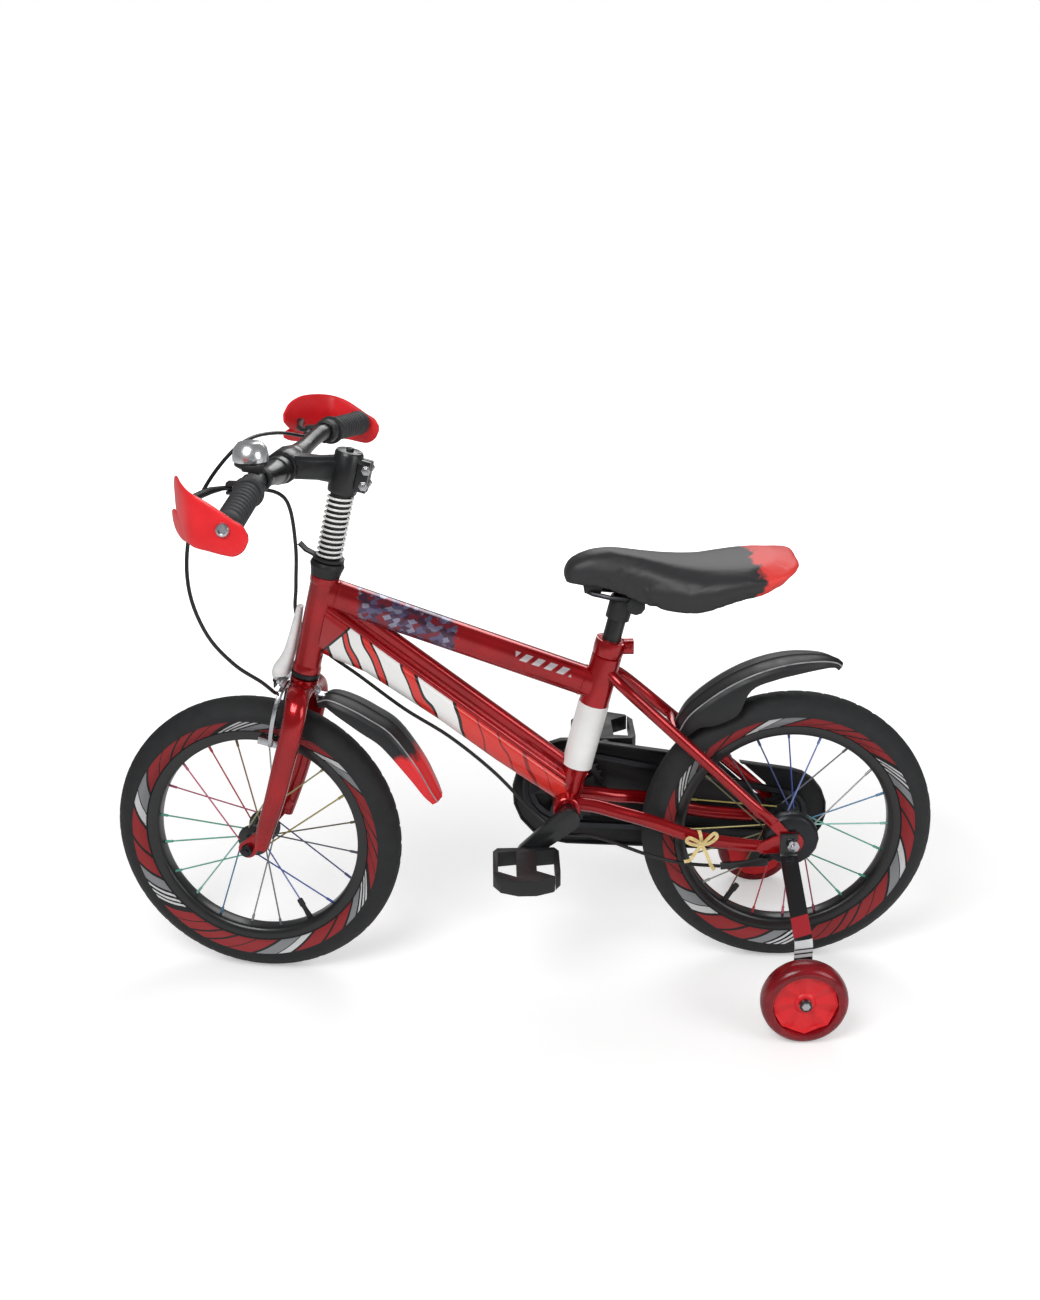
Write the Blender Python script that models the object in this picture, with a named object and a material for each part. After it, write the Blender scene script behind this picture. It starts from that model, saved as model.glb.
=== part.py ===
"""Kids' BMX bike with 16-inch wheels, hand guards and training wheels.

All lengths are in metres. Points are given in the bike's own places: x forward from the rear
axle, y to the rider's left of the frame's middle plane, z up from the ground. One empty carries
the whole bike, so that the origin is on the ground under the middle of the bike's box.
"""
import math

import bmesh
import bpy
from mathutils import Matrix, Vector

# Overall layout
WHEELBASE = 0.740
WHEEL_RADIUS = 0.2035
BOX_MIDDLE_X = 0.370
BOX_MIDDLE_Y = -0.0105
REST_STEER = math.radians(10.3)
GAP = 0.0003
RUNNING_GAP = 0.0004

# Head and seat axes, both leaning back. Heights along them count from one level over the tyres
LEVEL_OVER_TYRES = 0.0930
HEAD_SETBACK = 0.0914
HEAD_ANGLE = math.radians(76.62)
SEAT_SETBACK = 0.0012
SEAT_ANGLE = math.radians(76.06)

# Frame tubes
HEAD_TUBE_RADIUS = 0.0180
HEAD_TUBE_BORE = 0.0155
HEAD_TUBE_BOTTOM = -0.0510
HEAD_TUBE_TOP = 0.0840
TOP_TUBE_HEIGHT = 0.0410
TOP_TUBE_WIDTH = 0.0350
SEAT_TUBE_RADIUS = 0.0205
SEAT_TUBE_NECK = 0.0168
SEAT_TUBE_TOP = -0.0120
BRACKET_AHEAD = 0.3095
BRACKET_RISE = 0.0450
SHELL_RADIUS = 0.0195
SHELL_HALF_WIDTH = 0.0340
SHELL_BORE = 0.0094
SEAT_STAY_RADIUS = 0.0080
BRIDGE_RADIUS = 0.0060
BRIDGE_OVER_TYRE = 0.0263
DROPOUT_INNER = 0.0500
DROPOUT_THICKNESS = 0.0040
AXLE_RADIUS = 0.0047

# Wheels
TYRE_HALF_WIDTH = 0.0270
RIM_RADIUS = 0.1585
RIM_BED = 0.1520
RIM_INNER = 0.1435
RIM_HALF_WIDTH = 0.0150
WHEEL_FACETS = 32
SPOKE_COUNT = 20
SPOKE_RADIUS = 0.0010
FLANGE_RADIUS = 0.0225
FLANGE_MIDDLE = 0.0250
HUB_BORE = 0.0051
HUB_HALF_WIDTH = 0.0452

# Steering
STEERER_RADIUS = 0.0127
CUP_BORE = 0.0131
BAR_AHEAD = 0.0274
BAR_RISE = 0.2310
STEM_BOTTOM = BAR_RISE - 0.0335
STEM_TOP = BAR_RISE + 0.0210
BAR_HALF = 0.3060
BAR_GRIP_RADIUS = 0.0112
BAR_CLAMP_RADIUS = 0.0150
GRIP_INNER_Y = BAR_HALF - 0.1190
PERCH_Y = BAR_HALF - 0.1320
RING_FACETS = 12
SPRING_TURNS = 12
SPRING_WIRE = 0.0032
SPRING_RADIUS = 0.0164
SPRING_BOTTOM = HEAD_TUBE_TOP + 0.0255

# Drive
CHAIN_PLANE = -0.0415
CHAIN_PITCH = 0.0127
RING_TEETH = 28
SPROCKET_TEETH = 16
CRANK_LENGTH = 0.0760
CRANK_ANGLE = math.radians(-40.0)
SPINDLE_RADIUS = 0.0090
LEFT_ARM_Y = 0.0530
RIGHT_ARM_Y = -0.0590
ARM_THICKNESS = 0.0120
CASE_FRONT_RADIUS = 0.0820
CASE_REAR_RADIUS = 0.0660
CASE_THICKNESS = 0.0020

# Training wheels
TRAINING_RADIUS = 0.0580
TRAINING_X = 0.0050
TRAINING_Y = 0.2200
TRAINING_HALF_WIDTH = 0.0170
BRACKET_WIDTH = 0.0240
BRACKET_THICKNESS = 0.0040

# Seat
POST_RADIUS = 0.0127
POST_BOTTOM = -0.1100
POST_TOP = 0.0440
RAIL_RADIUS = 0.0035
RAIL_Y = 0.0190
RAIL_RISE = 0.0505
RAIL_ENDS = (-0.0759, -0.0159)

# Cables
CABLE_RADIUS = 0.0025

# Bores are a gap wider than the bar or post inside them, measured at the middle of a facet
BAR_BORE = (BAR_GRIP_RADIUS + GAP) / math.cos(math.pi / RING_FACETS)
CLAMP_BORE = (BAR_CLAMP_RADIUS + GAP) / math.cos(math.pi / RING_FACETS)

UP = Vector((0.0, 0.0, 1.0))
LEFT = Vector((0.0, 1.0, 0.0))
FORWARD = Vector((1.0, 0.0, 0.0))
HEAD_AXIS = Vector((-math.cos(HEAD_ANGLE), 0.0, math.sin(HEAD_ANGLE)))
SEAT_AXIS = Vector((-math.cos(SEAT_ANGLE), 0.0, math.sin(SEAT_ANGLE)))
HEAD_FORE = Vector((math.sin(HEAD_ANGLE), 0.0, math.cos(HEAD_ANGLE)))
REAR_HUB = Vector((0.0, 0.0, WHEEL_RADIUS))
FRONT_HUB = Vector((WHEELBASE, 0.0, WHEEL_RADIUS))
BOTTOM_BRACKET = Vector((BRACKET_AHEAD, 0.0, WHEEL_RADIUS + BRACKET_RISE))
AXIS_LEVEL = 2 * WHEEL_RADIUS + LEVEL_OVER_TYRES
SHELL_HEIGHT = BOTTOM_BRACKET.z - AXIS_LEVEL
HEAD_DATUM = Vector((WHEELBASE - HEAD_SETBACK, 0.0, AXIS_LEVEL))
SEAT_DATUM = Vector((BRACKET_AHEAD - SEAT_SETBACK + SHELL_HEIGHT / math.tan(SEAT_ANGLE), 0.0, AXIS_LEVEL))
BAR_CENTRE = HEAD_DATUM + Vector((BAR_AHEAD, 0.0, BAR_RISE))
CASE_FRONT_CENTRE = BOTTOM_BRACKET + Vector((-0.0075, 0.0, -0.0105))
CROWN_MIDDLE = HEAD_DATUM + Vector((0.0179, 0.0, -0.0755))
STEER_TURN = Matrix.Rotation(-REST_STEER, 3, HEAD_AXIS)
CRANK_REACH = Vector((math.cos(CRANK_ANGLE), 0.0, math.sin(CRANK_ANGLE))) * CRANK_LENGTH
RING_RADIUS = CHAIN_PITCH / (2 * math.sin(math.pi / RING_TEETH))
SPROCKET_RADIUS = CHAIN_PITCH / (2 * math.sin(math.pi / SPROCKET_TEETH))


def head_point(z):
    """The point of the steering axis at height z over the level of the axes."""
    return HEAD_DATUM + HEAD_AXIS * (z / HEAD_AXIS.z)


def seat_point(z):
    """The point of the seat tube's axis at height z over the level of the axes."""
    return SEAT_DATUM + SEAT_AXIS * (z / SEAT_AXIS.z)


def steered(point):
    """Where a point of the straight steering group lies with the bar turned as it rests."""
    return HEAD_DATUM + STEER_TURN @ (Vector(point) - HEAD_DATUM)


def mirrored(points):
    return [Vector((p[0], -p[1], p[2])) for p in points]


# Empties that carry the pieces

places = {}


def clear_scene():
    for thing in list(bpy.data.objects):
        bpy.data.objects.remove(thing, do_unlink=True)


def carrier(name, place, parent=None, turn=None):
    """An empty at a place of the bike. Pieces that move have it on their joint's axis."""
    empty = bpy.data.objects.new(name, None)
    empty.empty_display_size = 0.03
    bpy.context.collection.objects.link(empty)
    places[name] = Vector(place)
    if parent:
        empty.parent = bpy.data.objects[parent]
        empty.location = places[name] - places[parent]
    if turn:
        empty.rotation_mode = "QUATERNION"
        empty.rotation_quaternion = turn.to_quaternion()
    return empty


# Materials

def linear(value):
    return value / 12.92 if value <= 0.04045 else ((value + 0.055) / 1.055) ** 2.4


def paint(name, shade, roughness, metallic=0.0):
    """A Principled material from an sRGB hex colour."""
    finish = bpy.data.materials.new(name)
    finish.use_nodes = True
    surface = finish.node_tree.nodes["Principled BSDF"]
    channels = [int(shade[k:k + 2], 16) / 255 for k in (0, 2, 4)]
    surface.inputs["Base Color"].default_value = [linear(c) for c in channels] + [1.0]
    surface.inputs["Roughness"].default_value = roughness
    surface.inputs["Metallic"].default_value = metallic
    finish.diffuse_color = [linear(c) for c in channels] + [1.0]
    return finish


# Shapes

def finished(name, shape, group, finish, crease=35.0, helper=False):
    """Makes a named object of a shape given in the bike's places, with its origin on its empty."""
    shape.normal_update()
    bmesh.ops.recalc_face_normals(shape, faces=shape.faces)
    bmesh.ops.translate(shape, verts=shape.verts, vec=-places[group])
    mesh = bpy.data.meshes.new(name)
    shape.to_mesh(mesh)
    shape.free()
    mesh.shade_smooth()
    mesh.set_sharp_from_angle(angle=math.radians(crease))
    piece = bpy.data.objects.new(name, mesh)
    bpy.context.collection.objects.link(piece)
    piece.parent = bpy.data.objects[group]
    if helper:
        piece.hide_render = True
        piece.display_type = "WIRE"
    else:
        mesh.materials.append(finish)
    return piece


# These pieces lose faces with the exact solver, so they use the manifold one
MANIFOLD_PIECES = ("top_tube", "down_tube", "seat_clamp", "hand_guard_left", "hand_guard_right",
                   "front_brake_arm_left", "front_brake_arm_right")


def combine(piece, others, operation):
    for other in others:
        change = piece.modifiers.new(other.name, "BOOLEAN")
        change.operation = operation
        change.solver = "MANIFOLD" if piece.name in MANIFOLD_PIECES else "EXACT"
        change.object = other
    return piece


def cut(piece, *cutters):
    return combine(piece, cutters, "DIFFERENCE")


def join(piece, *others):
    return combine(piece, others, "UNION")


def loft(rings):
    """A closed skin through rings of equal point counts, flat at both ends."""
    shape = bmesh.new()
    loops = [[shape.verts.new(p) for p in ring] for ring in rings]
    count = len(loops[0])
    for near, far in zip(loops, loops[1:]):
        for k in range(count):
            m = (k + 1) % count
            shape.faces.new((near[k], near[m], far[m], far[k]))
    shape.faces.new(loops[0])
    shape.faces.new(loops[-1])
    return shape


def closed_loft(rings):
    """A skin through rings that run round and meet, such as a chain's."""
    shape = bmesh.new()
    loops = [[shape.verts.new(p) for p in ring] for ring in rings]
    count = len(loops[0])
    for near, far in zip(loops, loops[1:] + loops[:1]):
        for k in range(count):
            m = (k + 1) % count
            shape.faces.new((near[k], near[m], far[m], far[k]))
    return shape


def turned(profile, base, axis, steps, start=-UP):
    """A turned solid. The profile lists (radius, distance along the axis from base).

    Where both its ends are off the axis the profile closes on itself, which leaves a bore."""
    axis = axis.normalized()
    if abs(axis.dot(start)) > 0.99:
        start = FORWARD
    first = (start - axis * start.dot(axis)).normalized()
    second = axis.cross(first)
    shape = bmesh.new()
    rings = []
    for radius, along in profile:
        centre = base + axis * along
        if radius == 0:
            rings.append([shape.verts.new(centre)])
            continue
        turns = [2 * math.pi * k / steps for k in range(steps)]
        rings.append([
            shape.verts.new(centre + (first * math.cos(t) + second * math.sin(t)) * radius)
            for t in turns
        ])
    hollow = profile[0][0] > 0 and profile[-1][0] > 0
    for near, far in zip(rings, rings[1:] + (rings[:1] if hollow else [])):
        for k in range(steps):
            m = (k + 1) % steps
            corners = [near[k % len(near)], near[m % len(near)], far[m % len(far)], far[k % len(far)]]
            corners = [c for i, c in enumerate(corners) if c not in corners[:i]]
            if len(corners) > 2:
                shape.faces.new(corners)
    return shape


def rod(radius, start, end, steps=16):
    """A plain round bar from one point to another."""
    start, end = Vector(start), Vector(end)
    length = (end - start).length
    profile = [(0, 0), (radius, 0), (radius, length), (0, length)]
    return turned(profile, start, end - start, steps)


def round_outline(half_width, half_height, steps):
    turns = [2 * math.pi * (k + 0.5) / steps for k in range(steps)]
    return [(half_width * math.cos(t), half_height * math.sin(t)) for t in turns]


def soft_outline(half_width, half_height, steps, fullness=3.0):
    """A superellipse: fuller than an ellipse, as the drawn tubes are."""
    points = []
    for k in range(steps):
        t = 2 * math.pi * (k + 0.5) / steps
        c, s = math.cos(t), math.sin(t)
        points.append((
            half_width * math.copysign(abs(c) ** (2 / fullness), c),
            half_height * math.copysign(abs(s) ** (2 / fullness), s),
        ))
    return points


def box_outline(half_width, half_height, corner=0.0):
    if not corner:
        return [(half_width, half_height), (-half_width, half_height),
                (-half_width, -half_height), (half_width, -half_height)]
    a, b = half_width - corner, half_height - corner
    return [(half_width, b), (a, half_height), (-a, half_height), (-half_width, b),
            (-half_width, -b), (-a, -half_height), (a, -half_height), (half_width, -b)]


def frames(path, up):
    """For each point of a path: itself, the direction to its side and the one above it."""
    result = []
    for k, point in enumerate(path):
        before, after = path[max(k - 1, 0)], path[min(k + 1, len(path) - 1)]
        tangent = (after - before).normalized()
        side = up.cross(tangent).normalized()
        result.append((point, side, tangent.cross(side)))
    return result


def swept(path, outlines, up=UP):
    """A loft along a path, with one outline for all of it or one for each of its points."""
    path = [Vector(p) for p in path]
    if isinstance(outlines[0], tuple):
        outlines = [outlines] * len(path)
    rings = []
    for (centre, side, above), outline in zip(frames(path, up), outlines):
        rings.append([centre + side * a + above * b for a, b in outline])
    return loft(rings)


def smooth_path(points, steps):
    """Points read from a smooth curve through the given ones, steps to each span."""
    points = [Vector(p) for p in points]
    ends = [points[0] * 2 - points[1]] + points + [points[-1] * 2 - points[-2]]
    result = []
    for k in range(1, len(ends) - 2):
        p0, p1, p2, p3 = ends[k - 1:k + 3]
        for s in range(steps):
            t = s / steps
            result.append(0.5 * (
                p1 * 2 + (p2 - p0) * t + (p0 * 2 - p1 * 5 + p2 * 4 - p3) * t ** 2
                + (p1 * 3 - p0 - p2 * 3 + p3) * t ** 3
            ))
    return result + [points[-1]]


def plate(outline, low, high):
    """A flat plate in the xz plane with the given outline, from y = low to y = high."""
    return loft([[Vector((x, y, z)) for x, z in outline] for y in (low, high)])


def arc(centre, radius, start, end, steps):
    """Points (x, z) on an arc, with angles in radians, counted from +x towards +z."""
    turns = [start + (end - start) * k / steps for k in range(steps + 1)]
    return [(centre[0] + radius * math.cos(t), centre[1] + radius * math.sin(t)) for t in turns]


def strap_outline(a, ra, b, rb, steps):
    """The outline round two circles, as (x, z) points: two arcs and their tangents."""
    ax, az, bx, bz = a[0], a[1], b[0], b[1]
    heading = math.atan2(bz - az, bx - ax)
    lean = math.acos((ra - rb) / math.hypot(bx - ax, bz - az))
    near = arc(a, ra, heading + lean, heading - lean + 2 * math.pi, steps)
    far = arc(b, rb, heading - lean, heading + lean, steps)
    return near + far


def cord(name, points, group, finish, radius=CABLE_RADIUS, resolution=2):
    """A cable along the points, as a curve with a bevel and filled caps."""
    curve = bpy.data.curves.new(name, "CURVE")
    curve.dimensions = "3D"
    curve.bevel_depth = radius
    curve.bevel_resolution = resolution
    curve.use_fill_caps = True
    line = curve.splines.new("POLY")
    line.points.add(len(points) - 1)
    for slot, point in zip(line.points, points):
        slot.co = (*(Vector(point) - places[group]), 1.0)
    curve.materials.append(finish)
    piece = bpy.data.objects.new(name, curve)
    bpy.context.collection.objects.link(piece)
    piece.parent = bpy.data.objects[group]
    return piece


# Frame

def on_head(*points, steps=16):
    """Turned about the steering axis from points (radius, height over the level of the axes)."""
    return turned([(r, z / HEAD_AXIS.z) for r, z in points], HEAD_DATUM, HEAD_AXIS, steps, FORWARD)


def on_seat(*points, steps=16):
    """Turned about the seat tube's axis, likewise."""
    return turned([(r, z / SEAT_AXIS.z) for r, z in points], SEAT_DATUM, SEAT_AXIS, steps, FORWARD)


def seat_foot(*points):
    """Points of a profile whose heights count from the bottom bracket."""
    return [(radius, SHELL_HEIGHT + z) for radius, z in points]


def frame_cutters():
    """Hidden solids, a gap larger than the tubes, that trim whatever meets them."""
    grown = HEAD_TUBE_RADIUS + 0.0012 + GAP
    finished("head_tube_cutter", on_head((0, -0.10), (grown, -0.10), (grown, 0.12), (0, 0.12), steps=24),
             "bike", None, helper=True)
    foot, body = SEAT_TUBE_NECK + GAP, SEAT_TUBE_RADIUS + GAP
    finished("seat_tube_cutter", on_seat(
        *seat_foot((0, -0.0185), (foot, -0.0185), (foot, 0.0415), (body, 0.0635)), (body, 0.02), (0, 0.02),
        steps=24), "bike", None, helper=True)
    reach = Vector((0, SHELL_HALF_WIDTH + GAP, 0))
    finished("shell_cutter", rod(SHELL_RADIUS + GAP, BOTTOM_BRACKET - reach, BOTTOM_BRACKET + reach, 24),
             "bike", None, helper=True)


def top_tube_shape(extra=0.0, past=0.0):
    """The top tube, drawn oval, from inside the seat tube to inside the head tube."""
    start = seat_point(-0.0775) + FORWARD * 0.004
    end = head_point(0.0605) - FORWARD * 0.007
    way = (end - start).normalized()
    path = [start - way * past, start.lerp(end, 0.35), start.lerp(end, 0.8), end + way * past]
    widths = [1.0, 1.0, 0.97, 0.90]
    outlines = [soft_outline(TOP_TUBE_WIDTH / 2 * w + extra, TOP_TUBE_HEIGHT / 2 + extra, 16, 2.6)
                for w in widths]
    return swept(path, outlines)


def down_tube_outline(height, width):
    """Half a section of the drawn down tube, mirrored: a round ridge, a bead and a flat panel."""
    half = [
        (0.0062, -0.0022), (0.0090, -0.0090), (0.0070, -0.0165), (0.0066, -0.0195),
        (0.0125, -0.0220), (0.0148, -0.0260), (0.0140, -0.0295), (0.0176, -0.0330),
        (0.0182, -height + 0.0165), (0.0152, -height + 0.0070), (0.0080, -height + 0.0015),
    ]
    half = [(w * width / 0.0182, d) for w, d in half]
    return [(0.0, 0.0)] + half + [(0.0, -height)] + [(-w, d) for w, d in reversed(half)]


def make_frame(red, white):
    cutters = bpy.data.objects
    collar = HEAD_TUBE_RADIUS + 0.0012
    head = on_head(
        (HEAD_TUBE_BORE, HEAD_TUBE_BOTTOM), (collar, HEAD_TUBE_BOTTOM), (collar, HEAD_TUBE_BOTTOM + 0.008),
        (HEAD_TUBE_RADIUS, HEAD_TUBE_BOTTOM + 0.011), (HEAD_TUBE_RADIUS, HEAD_TUBE_TOP - 0.011),
        (collar, HEAD_TUBE_TOP - 0.008), (collar, HEAD_TUBE_TOP), (HEAD_TUBE_BORE, HEAD_TUBE_TOP))
    finished("head_tube", head, "bike", red)

    top = finished("top_tube", top_tube_shape(), "bike", red)
    cut(top, cutters["head_tube_cutter"], cutters["seat_tube_cutter"])
    finished("top_tube_cutter", top_tube_shape(GAP, 0.0), "bike", None, helper=True)

    low_end = BOTTOM_BRACKET + Vector((-0.0285, 0, 0.0467))
    high_end = HEAD_DATUM + Vector((-0.0563, 0, 0.0463))
    stations = [(0.0, 0.0596, 0.0150), (0.275, 0.0640, 0.0178), (0.525, 0.0640, 0.0182),
                (0.825, 0.0700, 0.0180), (1.0, 0.0830, 0.0160)]
    path = [low_end.lerp(high_end, share) for share, _, _ in stations]
    outlines = [down_tube_outline(h, w) for _, h, w in stations]
    down = finished("down_tube", swept(path, outlines), "bike", white)
    cut(down, cutters["head_tube_cutter"], cutters["top_tube_cutter"],
        cutters["seat_tube_cutter"], cutters["shell_cutter"])

    neck, body, bore = SEAT_TUBE_NECK, SEAT_TUBE_RADIUS, POST_RADIUS + GAP
    seat = on_seat(
        *seat_foot((0, -0.0005), (neck, -0.0005), (neck, 0.0415), (body, 0.0635)),
        (body, SEAT_TUBE_TOP - 0.0240), (neck, SEAT_TUBE_TOP - 0.0225), (neck, SEAT_TUBE_TOP),
        (bore, SEAT_TUBE_TOP), (bore, POST_BOTTOM - 0.045), (0, POST_BOTTOM - 0.045))
    cut(finished("seat_tube", seat, "bike", red), cutters["shell_cutter"])

    cup = SHELL_HALF_WIDTH
    shell = turned(
        [(SHELL_BORE, -cup), (0.0170, -cup), (SHELL_RADIUS, -cup + 0.002),
         (SHELL_RADIUS, cup - 0.002), (0.0170, cup), (SHELL_BORE, cup)],
        BOTTOM_BRACKET, LEFT, 16)
    finished("bottom_bracket_shell", shell, "bike", red)


def dropout_outline():
    """The rear dropout plate round the axle, with a tongue up to the seat stay."""
    return strap_outline((0.040, WHEEL_RADIUS - 0.0075), 0.009, (0.0, WHEEL_RADIUS), 0.016, 6)


def stay_line():
    """The seat stay's centre line, from the seat tube down to the dropout's tongue."""
    line = [(0.0181, 0.0085, -0.0480), (0.0011, 0.0150, -0.0615), (-0.0139, 0.0250, -0.0742),
            (-0.0409, 0.0310, -0.0990)]
    line = [SEAT_DATUM + Vector(p) for p in line]
    end = REAR_HUB + Vector((0.0265, 0.0520, 0.0301))
    for share, y in ((0.165, 0.0515), (0.048, 0.0520), (0.0, 0.0520)):
        point = end.lerp(line[3], share)
        line.append(Vector((point.x, y, point.z)))
    return line


def bridge_end():
    """Where the bridge meets the left seat stay, at its distance from the rear tyre."""
    line = stay_line()
    low, way = (line[4] - REAR_HUB).xz, (line[3] - line[4]).xz
    reach = WHEEL_RADIUS + BRIDGE_OVER_TYRE
    half = low.dot(way) / way.dot(way)
    share = math.sqrt(half ** 2 - (low.dot(low) - reach ** 2) / way.dot(way)) - half
    return line[4].lerp(line[3], share)


def make_stays(red):
    things = bpy.data.objects
    front = [(-0.0095, 0.0190, 0.0040), (-0.0395, 0.0210, 0.0005), (-0.0715, 0.0262, -0.0073)]
    tyre_front = REAR_HUB + FORWARD * WHEEL_RADIUS
    beside = [(0.0015, 0.0345, 0.0310), (-0.0235, 0.0395, 0.0235)]
    rear = [(0.150, 0.0430, 0.0125), (0.120, 0.0452, 0.0035), (0.080, 0.0468, -0.0030),
            (0.040, 0.0478, -0.0075)]
    centre = ([BOTTOM_BRACKET + Vector(p) for p in front] + [tyre_front + Vector(p) for p in beside]
              + [REAR_HUB + Vector(p) for p in rear])
    sizes = [(0.0095, 0.0098)] * 3 + [(0.0085, 0.0100), (0.0072, 0.0100), (0.0064, 0.0100),
                                      (0.0058, 0.0100), (0.0052, 0.0098), (0.0046, 0.0090)]
    outlines = [round_outline(w, h, 10) for w, h in sizes]
    stay_top = stay_line()
    full = SEAT_STAY_RADIUS
    stay_sizes = [(full, full)] * 4 + [(0.0070, full), (0.0030, full), (DROPOUT_THICKNESS / 2, full)]
    tongue_end = stay_top[-1]
    stay_way = (stay_top[-2] - tongue_end).normalized()
    for side, sign in (("left", 1), ("right", -1)):
        turn = list if sign > 0 else mirrored
        low, high = sorted((sign * DROPOUT_INNER, sign * (DROPOUT_INNER + DROPOUT_THICKNESS)))
        stay = finished("chain_stay_" + side, swept(turn(centre), outlines), "bike", red)
        plate_piece = finished("dropout_" + side, plate(dropout_outline(), low, high),
                               "bike", None, helper=True)
        end = Vector((tongue_end.x, sign * tongue_end.y, tongue_end.z))
        reach = Vector((stay_way.x, 0, stay_way.z)).normalized()
        foot = end - reach * 0.0340
        tongue = finished("dropout_tongue_" + side, swept(
            [foot, end - reach * 0.0010], box_outline(0.0018, 0.0075), reach.cross(LEFT)),
            "bike", None, helper=True)
        hole = finished("axle_hole_" + side, rod(
            AXLE_RADIUS + 2 * GAP, REAR_HUB + LEFT * sign * 0.04, REAR_HUB + LEFT * sign * 0.07, 8),
            "bike", None, helper=True)
        join(stay, plate_piece, tongue)
        cut(stay, things["shell_cutter"], things["seat_tube_cutter"], hole)
        seat_stay = swept(turn(stay_top), [round_outline(w, h, 10) for w, h in stay_sizes])
        seat_stay = finished("seat_stay_" + side, seat_stay, "bike", red)
        cut(seat_stay, things["seat_tube_cutter"])
        grown = SEAT_STAY_RADIUS + GAP
        finished("seat_stay_cutter_" + side, swept(turn(stay_top[2:5]), round_outline(grown, grown, 10)),
                 "bike", None, helper=True)
    end = bridge_end()
    bridge = rod(BRIDGE_RADIUS, end, (end.x, -end.y, end.z), 12)
    bridge = finished("seat_stay_bridge", bridge, "bike", red)
    cut(bridge, things["seat_stay_cutter_left"], things["seat_stay_cutter_right"])


def make_seat_clamp(red):
    inner, outer = SEAT_TUBE_NECK + GAP, SEAT_TUBE_NECK + 0.0040
    low, middle, high = SEAT_TUBE_TOP - 0.0215, SEAT_TUBE_TOP - 0.0110, SEAT_TUBE_TOP - 0.0005
    ring = on_seat((inner, low), (outer, low), (outer + 0.0006, middle), (outer, high), (inner, high))
    ring = finished("seat_clamp", ring, "bike", red)
    back = seat_point(middle) - FORWARD * (SEAT_TUBE_NECK + 0.0027)
    ears = finished("seat_clamp_ears", swept(
        [back + FORWARD * 0.002, back - FORWARD * 0.013], box_outline(0.0085, 0.0095, 0.003)),
        "bike", None, helper=True)
    slit = finished("seat_clamp_slit", swept(
        [back + FORWARD * 0.010, back - FORWARD * 0.020], box_outline(0.0012, 0.014)),
        "bike", None, helper=True)
    centre = back - FORWARD * 0.006
    join(ring, ears)
    cut(ring, slit)
    bore = on_seat((0, low - 0.02), (inner, low - 0.02), (inner, high + 0.02), (0, high + 0.02))
    bore = finished("seat_clamp_bore", bore, "bike", None, helper=True)
    cut(ring, bore)
    bolt = turned([(0, -0.0145), (0.0050, -0.0145), (0.0050, -0.0080), (0.0028, -0.0080),
                   (0.0028, 0.0080), (0.0052, 0.0080), (0.0052, 0.0150), (0, 0.0150)],
                  centre, LEFT, 8)
    join(ring, finished("seat_clamp_bolt", bolt, "bike", None, helper=True))


def make_headset(dark, black):
    foot, top = HEAD_TUBE_BOTTOM - GAP, HEAD_TUBE_TOP + GAP
    cup = HEAD_TUBE_RADIUS + 0.0016
    lower = on_head((CUP_BORE, foot - 0.0085), (cup - 0.0026, foot - 0.0085), (cup, foot - 0.0062),
                    (cup, foot), (CUP_BORE, foot))
    finished("headset_lower_cup", lower, "bike", dark)
    upper = on_head((CUP_BORE, top), (cup, top), (cup + 0.0009, top + 0.0057), (cup + 0.0036, top + 0.0142),
                    (cup + 0.0019, top + 0.0192), (CUP_BORE, top + 0.0212))
    finished("headset_upper_cup", upper, "bike", black)


# Steering

def make_fork(red):
    foot = [(-0.0210, 0.0615, 0.0060), (-0.0285, 0.0615, 0.0315), (-0.0442, 0.0615, 0.0785)]
    crown = [(0.0329, 0.0615, -0.1680), (0.0214, 0.0612, -0.1280), (0.0154, 0.0590, -0.1030),
             (0.0139, 0.0500, -0.0850), (0.0154, 0.0340, -0.0765), (0.0174, 0.0160, -0.0755)]
    half = [FRONT_HUB + Vector(p) for p in foot] + [HEAD_DATUM + Vector(p) for p in crown]
    sizes = [(0.0080, 0.0095), (0.0092, 0.0120), (0.0100, 0.0138), (0.0100, 0.0146),
             (0.0102, 0.0148), (0.0106, 0.0150), (0.0110, 0.0152), (0.0114, 0.0158),
             (0.0116, 0.0166)]
    path = half + [CROWN_MIDDLE] + mirrored(reversed(half))
    outlines = [round_outline(a, b, 8) for a, b in sizes]
    outlines = outlines + [outlines[-1]] + outlines[::-1]
    fork = finished("fork", swept(path, outlines, HEAD_FORE), "steering", red)
    seat, top = HEAD_TUBE_BOTTOM - 0.0092, STEM_TOP - 0.0070
    race = on_head((0, seat - 0.0198), (0.0150, seat - 0.0198), (0.0190, seat - 0.0033), (0.0190, seat),
                   (STEERER_RADIUS, seat + 0.0001), (STEERER_RADIUS, top), (0, top))
    join(fork, finished("steerer_tube", race, "steering", None, helper=True))
    for side, sign in (("left", 1), ("right", -1)):
        low, high = sorted((sign * 0.0515, sign * 0.0555))
        above = (WHEELBASE - 0.0270, WHEEL_RADIUS + 0.0265)
        outline = strap_outline(above, 0.0100, (WHEELBASE, WHEEL_RADIUS), 0.0130, 5)
        tip = finished("fork_tip_" + side, plate(outline, low, high), "steering", None, helper=True)
        hole = finished("fork_hole_" + side, rod(
            AXLE_RADIUS + 2 * GAP, FRONT_HUB + LEFT * sign * 0.04, FRONT_HUB + LEFT * sign * 0.07, 8),
            "steering", None, helper=True)
        join(fork, tip)
        cut(fork, hole)


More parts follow.
